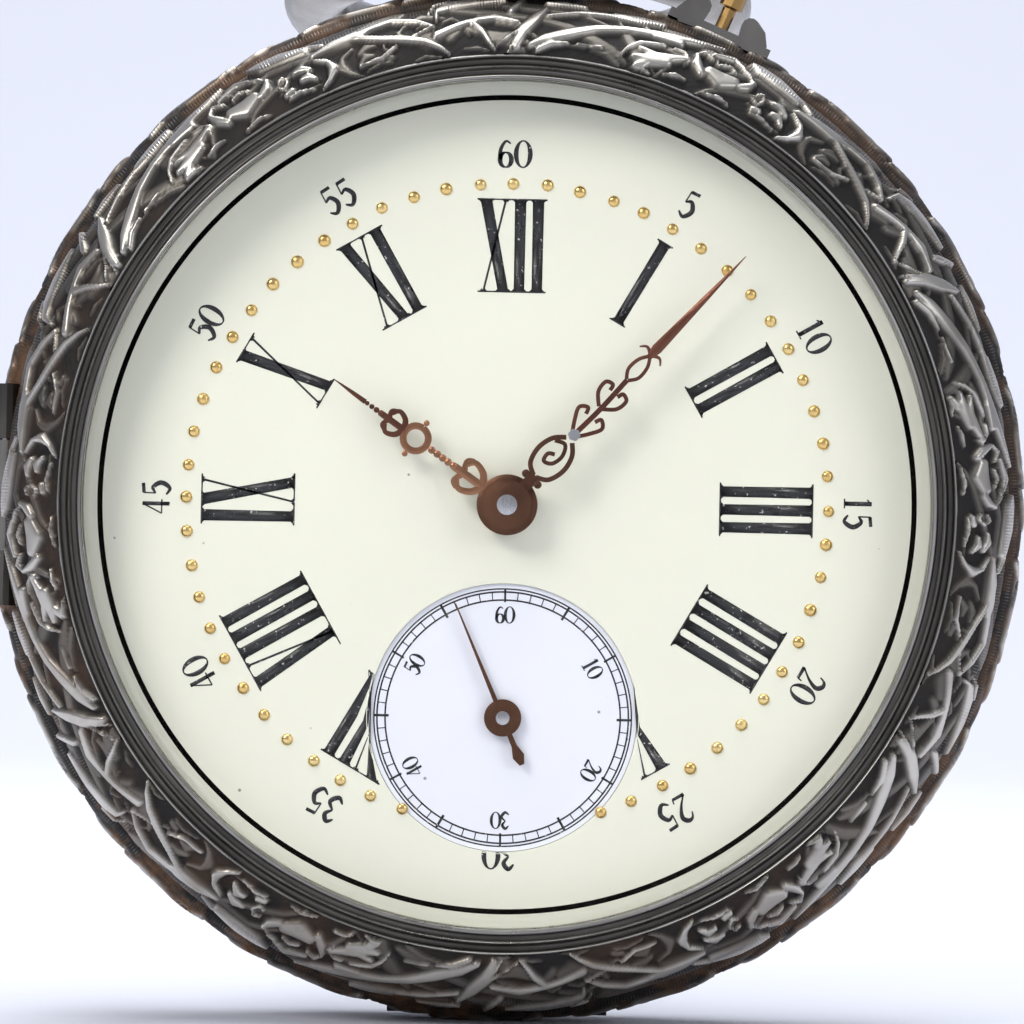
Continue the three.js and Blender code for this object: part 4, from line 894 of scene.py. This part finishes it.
def makeHourHand():
    low, high = 4.45, 4.6
    bm = spun([(0.9, low), (1.5, low), (1.5, high), (1.3, high + 0.1), (0.95, high + 0.1)], 48)
    for face in bm.faces:
        face.material_index = 1
    for side in (lambda p: p, mirrored):
        wirePath(bm, side([(0.05, 1.5), (0.55, 1.85), (0.75, 2.45), (0.35, 2.8)]), 0.2, low, high, 2,
                 taper=lambda t: 1.0 - 0.4 * t)
        wirePath(bm, side([(0.15, 2.7), (0.6, 2.85), (0.85, 2.55)]), 0.15, low, high, 2,
                 taper=lambda t: 1.1 - 0.7 * t)
    wirePath(bm, [(0, 1.3), (0, 3.2)], 0.2, low, high, 2)
    for bead in range(5):
        disc(bm, (0, 3.25 + bead * 0.33), 0.19, low, high + 0.03, 12, 2, 0.07)
    ring = arcPoints(0, 5.55, 0.62, 0, 360, 28)
    ribbon(bm, ring, [0.17] * len(ring), low, high, 0.06, 2)
    for side in (-1, 1):
        disc(bm, (side * 0.92, 5.55), 0.15, low, high + 0.02, 12, 2, 0.05)
    for side in (lambda p: p, mirrored):
        wirePath(bm, side([(0.05, 6.3), (0.45, 6.5), (0.62, 6.95), (0.3, 7.2)]), 0.16, low, high, 0,
                 taper=lambda t: 1.0 - 0.4 * t)
        wirePath(bm, side([(0.1, 7.2), (0.42, 7.3), (0.62, 7.05)]), 0.12, low, high, 0,
                 taper=lambda t: 1.1 - 0.7 * t)
    wirePath(bm, [(0, 6.2), (0, 7.6)], 0.16, low, high, 0)
    for bead in range(4):
        disc(bm, (0, 7.65 + bead * 0.28), 0.16 - bead * 0.015, low, high + 0.03, 12, 0, 0.06)
    ribbon(bm, [(0, 8.6), (0, 9.4), (0, 10.5)], [0.13, 0.1, 0.02], low, high, 0.06, 0)
    turnVerts(bm, hourAngle)
    bmesh.ops.recalc_face_normals(bm, faces=bm.faces)
    metals = [handCopper, handRust, handGold]
    finishPiece("hour_hand_pierced", bm, metals, "hour", ("hour_hand",), 40)


def makeSecondsHand():
    low, high = 3.75, 3.88
    bm = bmesh.new()
    disc(bm, (0, 0), 0.92, low, high, 32, 0, 0.1)
    disc(bm, (0, 0), 0.34, low, 4.12, 20, 1, 0.03)
    ribbon(bm, [(0, 0.6), (0, 3), (0, 6.1)], [0.12, 0.08, 0.03], low, high, 0.05, 0)
    ribbon(bm, [(0, -0.6), (0, -1.5), (0, -2.05), (0, -2.5)], [0.12, 0.14, 0.3, 0.12], low, high, 0.06, 0)
    turnVerts(bm, secondsAngle, secondsAt)
    bmesh.ops.recalc_face_normals(bm, faces=bm.faces)
    metals = [handRust, greySteel]
    finishPiece("seconds_hand_fine", bm, metals, "fourth", ("seconds_hand",), 40)


# ---------- pendant, crown, bow and hinge knuckles

def standUp(bm):
    # what was turned about the dial axis now stands along the line to twelve
    bmesh.ops.rotate(bm, verts=bm.verts, cent=(0, 0, 0), matrix=Matrix.Rotation(math.radians(-90), 3, "X"))


def makePendant():
    profile = [
        (0.75, 25.55), (3.28, 25.55), (3.3, 25.72), (3.05, 25.85), (2.92, 26.05), (3.0, 26.25), (3.18, 26.45),
        (3.2, 27.4), (3.18, 28.3), (3.0, 28.75), (2.75, 29.2), (2.6, 29.5), (2.4, 29.6), (0.75, 29.6),
    ]
    bm = spun(profile, 96)
    standUp(bm)
    finishPiece("pendant_turned", bm, silverPlain, "case", ("pendant",), 50)


def makeCrown():
    look = {"ribs": 28, "ribDepth": 0.055}
    outline = [(3.2, 30.0), (3.55, 30.2), (3.95, 31.1), (4.25, 32.4), (4.15, 33.5), (3.8, 34.4), (3.1, 35.2),
               (2.35, 35.6), (1.5, 36.15), (1.2, 36.3), (0.6, 36.55), (0.0, 36.6)]
    bm = spun([(0.0, 30.0)] + smoothLine(outline, 4), look["ribs"] * 8, closed=False)
    for vert in bm.verts:
        radius = math.hypot(vert.co.x, vert.co.y)
        share = min(1.0, max(0.0, (radius - 2.2) / 0.6)) * min(1.0, max(0.0, (vert.co.z - 30.1) / 0.5))
        wave = 0.5 - 0.5 * math.cos(look["ribs"] * math.atan2(vert.co.y, vert.co.x))
        scale = 1 - look["ribDepth"] * share * wave ** 3
        vert.co.x *= scale
        vert.co.y *= scale
    standUp(bm)
    finishPiece("crown_ribbed", bm, silverPlain, "winding", ("crown",), 50)


def makeBow():
    look = {"ring": 10.4, "wire": 1.65, "eyeIn": 3.35, "eyeOut": 4.95, "axis": 27.4, "tilt": 10, "steps": 120}
    eyeMiddle = (look["eyeIn"] + look["eyeOut"]) / 2
    centre = math.sqrt(look["ring"] ** 2 - eyeMiddle ** 2)
    gap = math.asin(eyeMiddle / look["ring"])
    start = -math.pi / 2 + gap
    bm = bmesh.new()
    made = bmesh.ops.create_circle(bm, cap_ends=False, segments=32, radius=look["wire"] * 0.98)
    place = Matrix.Translation((0, centre, 0)) @ Matrix.Rotation(start, 4, "Z") \
        @ Matrix.Translation((look["ring"], 0, 0)) @ Matrix.Rotation(math.radians(90), 4, "X")
    bmesh.ops.transform(bm, matrix=place, verts=made["verts"])
    bmesh.ops.spin(bm, geom=bm.verts[:] + bm.edges[:], cent=(0, centre, 0), axis=(0, 0, 1), dvec=(0, 0, 0),
                   angle=2 * math.pi - 2 * gap, steps=look["steps"], use_merge=False, use_duplicate=False)
    bmesh.ops.holes_fill(bm, edges=[e for e in bm.edges if e.is_boundary], sides=0)
    for side in (-1, 1):
        middle = side * eyeMiddle
        eye = bmesh.ops.create_cone(
            bm, cap_ends=True, segments=40, radius1=look["wire"], radius2=look["wire"],
            depth=look["eyeOut"] - look["eyeIn"],
            matrix=Matrix.Translation((middle, 0, 0)) @ Matrix.Rotation(math.radians(90), 4, "Y"),
        )
        eyeVerts = set(eye["verts"])
        edges = [e for e in bm.edges if eyeVerts.issuperset(e.verts)]
        rims = [e for e in edges if abs(e.verts[0].co.x - e.verts[1].co.x) < 1e-5]
        bmesh.ops.bevel(bm, geom=rims, offset=0.16, segments=3, profile=0.5, affect="EDGES", material=-1)
    bmesh.ops.recalc_face_normals(bm, faces=bm.faces)
    bmesh.ops.rotate(bm, verts=bm.verts, cent=(0, 0, 0),
                     matrix=Matrix.Rotation(math.radians(-90 - look["tilt"]), 3, "X"))
    bmesh.ops.translate(bm, verts=bm.verts, vec=(0, look["axis"], 0))
    finishPiece("bow_ring", bm, silverPlain, "bow", ("bow",), 50)


def knuckleBar(bm, low, high, alongY):
    # one hinge knuckle on its cover's hinge line
    hinge = {"reach": 24.9, "radius": 0.6}
    turn = Matrix.Rotation(math.radians(90), 4, "X" if alongY else "Y")
    middle = (low + high) / 2
    at = (-hinge["reach"], middle, 0) if alongY else (middle, -hinge["reach"], 0)
    bmesh.ops.create_cone(bm, cap_ends=True, segments=28, radius1=hinge["radius"], radius2=hinge["radius"],
                          depth=high - low, matrix=Matrix.Translation(at) @ turn)


def makeKnuckles():
    bm = bmesh.new()
    knuckleBar(bm, -2.7, 2.7, True)
    bmesh.ops.translate(bm, verts=bm.verts, vec=(0, 0, 1.45))
    finishPiece("bezel_knuckle", bm, silverPlain, "bezel", smooth=50)
    bm = bmesh.new()
    knuckleBar(bm, -2.7, -1.18, False)
    knuckleBar(bm, 1.18, 2.7, False)
    bmesh.ops.translate(bm, verts=bm.verts, vec=(0, 0, -1.45))
    finishPiece("back_knuckles", bm, silverPlain, "back_cover", smooth=50)


# ---------- camera, light and floor

def makeStage():
    bm = bmesh.new()
    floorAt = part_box("case_middle")[0][2] - 0.0002
    profile = [(-0.6, floorAt), (0.30, floorAt)]
    profile += [(0.30 + 0.2 * math.sin(math.radians(a)), floorAt + 0.2 * (1 - math.cos(math.radians(a))))
                for a in range(6, 91, 6)]
    profile += [(0.5, floorAt + 0.9)]
    rows = [[bm.verts.new((x, y, z)) for y, z in profile] for x in (-0.9, 0.9)]
    for i in range(len(profile) - 1):
        bm.faces.new((rows[0][i], rows[1][i], rows[1][i + 1], rows[0][i + 1]))
    mesh = bpy.data.meshes.new("studio_sweep")
    bm.to_mesh(mesh)
    bm.free()
    sweep = bpy.data.objects.new("studio_sweep", mesh)
    bpy.context.scene.collection.objects.link(sweep)
    mesh.shade_smooth()
    material, n, shader = newMaterial("palePaper")
    shader.inputs["Base Color"].default_value = (0.68, 0.695, 0.76, 1)
    shader.inputs["Roughness"].default_value = 0.8
    # the paper is clear from its back, so a camera behind the sweep still sees the watch
    clear = n.add("ShaderNodeBsdfTransparent")
    sides = n.add("ShaderNodeMixShader")
    n.join(n.add("ShaderNodeNewGeometry").outputs["Backfacing"], sides.inputs[0])
    n.join(shader.outputs[0], sides.inputs[1])
    n.join(clear.outputs[0], sides.inputs[2])
    n.join(sides.outputs[0], material.node_tree.nodes["Material Output"].inputs["Surface"])
    mesh.materials.append(material)


studio = {  # name: place in metres, size, power in watts, colour
    "keyLeft": ((-0.38, -0.42, 0.42), 0.30, 1.5, (1.0, 0.985, 0.97)),
    "fillRight": ((0.45, -0.40, 0.25), 0.36, 0.6, (0.95, 0.97, 1.0)),
    "overhead": ((0.0, -0.05, 0.55), 0.4, 1.5, (1.0, 1.0, 1.0)),
    "backWash": ((0.0, 0.20, 0.40), 0.3, 1.5, (0.95, 0.97, 1.0)),
}


def makeLights():
    for name, (place, size, power, colour) in studio.items():
        light = bpy.data.lights.new(name, "AREA")
        light.shape = "DISK"
        light.size = size
        light.energy = power
        light.color = colour
        lamp = bpy.data.objects.new(name, light)
        lamp.location = place
        lamp.rotation_euler = (-Vector(place)).to_track_quat("-Z", "Y").to_euler()
        bpy.context.scene.collection.objects.link(lamp)
    world = bpy.data.worlds.new("softRoom")
    world.use_nodes = True
    world.node_tree.nodes["Background"].inputs["Color"].default_value = (0.86, 0.89, 1.0, 1)
    world.node_tree.nodes["Background"].inputs["Strength"].default_value = 0.42
    bpy.context.scene.world = world


def makeCamera():
    view = {"distance": 0.30, "width": 0.0511, "right": 0.00025, "up": -0.00035, "roll": 1.2}
    camera = bpy.data.cameras.new("camera")
    camera.sensor_width = 36
    camera.lens = 36 * view["distance"] / view["width"]
    camera.clip_start = 0.01
    camera.clip_end = 5
    holder = bpy.data.objects.new("camera", camera)
    holder.location = (view["right"], -view["distance"], view["up"])
    holder.rotation_euler = (Matrix.Rotation(math.radians(90), 3, "X")
                             @ Matrix.Rotation(math.radians(view["roll"]), 3, "Z")).to_euler()
    bpy.context.scene.collection.objects.link(holder)
    bpy.context.scene.camera = holder
    bpy.context.scene.view_settings.view_transform = "Standard"


# ---------- CAD nodes that stay

plainFinish = {
    "silver": silverPlain, "gilt": giltBrass, "steel": greySteel, "blued": bluedSteel,
    "hand_copper": handCopper, "enamel": dialEnamel, "crystal": crystalGlass,
}


ownFinish = {
    "case_middle": silverDark, "set_pusher": pinBrass, "pusher_guard": silverPlain,
    "crown_wheel": bluedSteel, "click": greySteel,
}


def dressNodes():
    slots = {entry["node"]: entry["material_slot"] for entry in frame["record"]["subparts"]}
    for name, node in frame["nodes"].items():
        finish = ownFinish.get(name, plainFinish[slots[name]])
        for slot in node.material_slots:
            slot.material = finish


makeCamera()
makeStage()
makeLights()
dressNodes()
print("stage and node finishes done")
makeBezel()
print("bezel done")
makeBand()
makeBack()
print("band and back done")
makeCrystal()
makeDial()
makeSecondsDial()
print("dial done")
makeMinuteHand()
makeHourHand()
makeSecondsHand()
print("hands done")
makePendant()
makeCrown()
makeBow()
makeKnuckles()
print("pendant, crown and bow done")
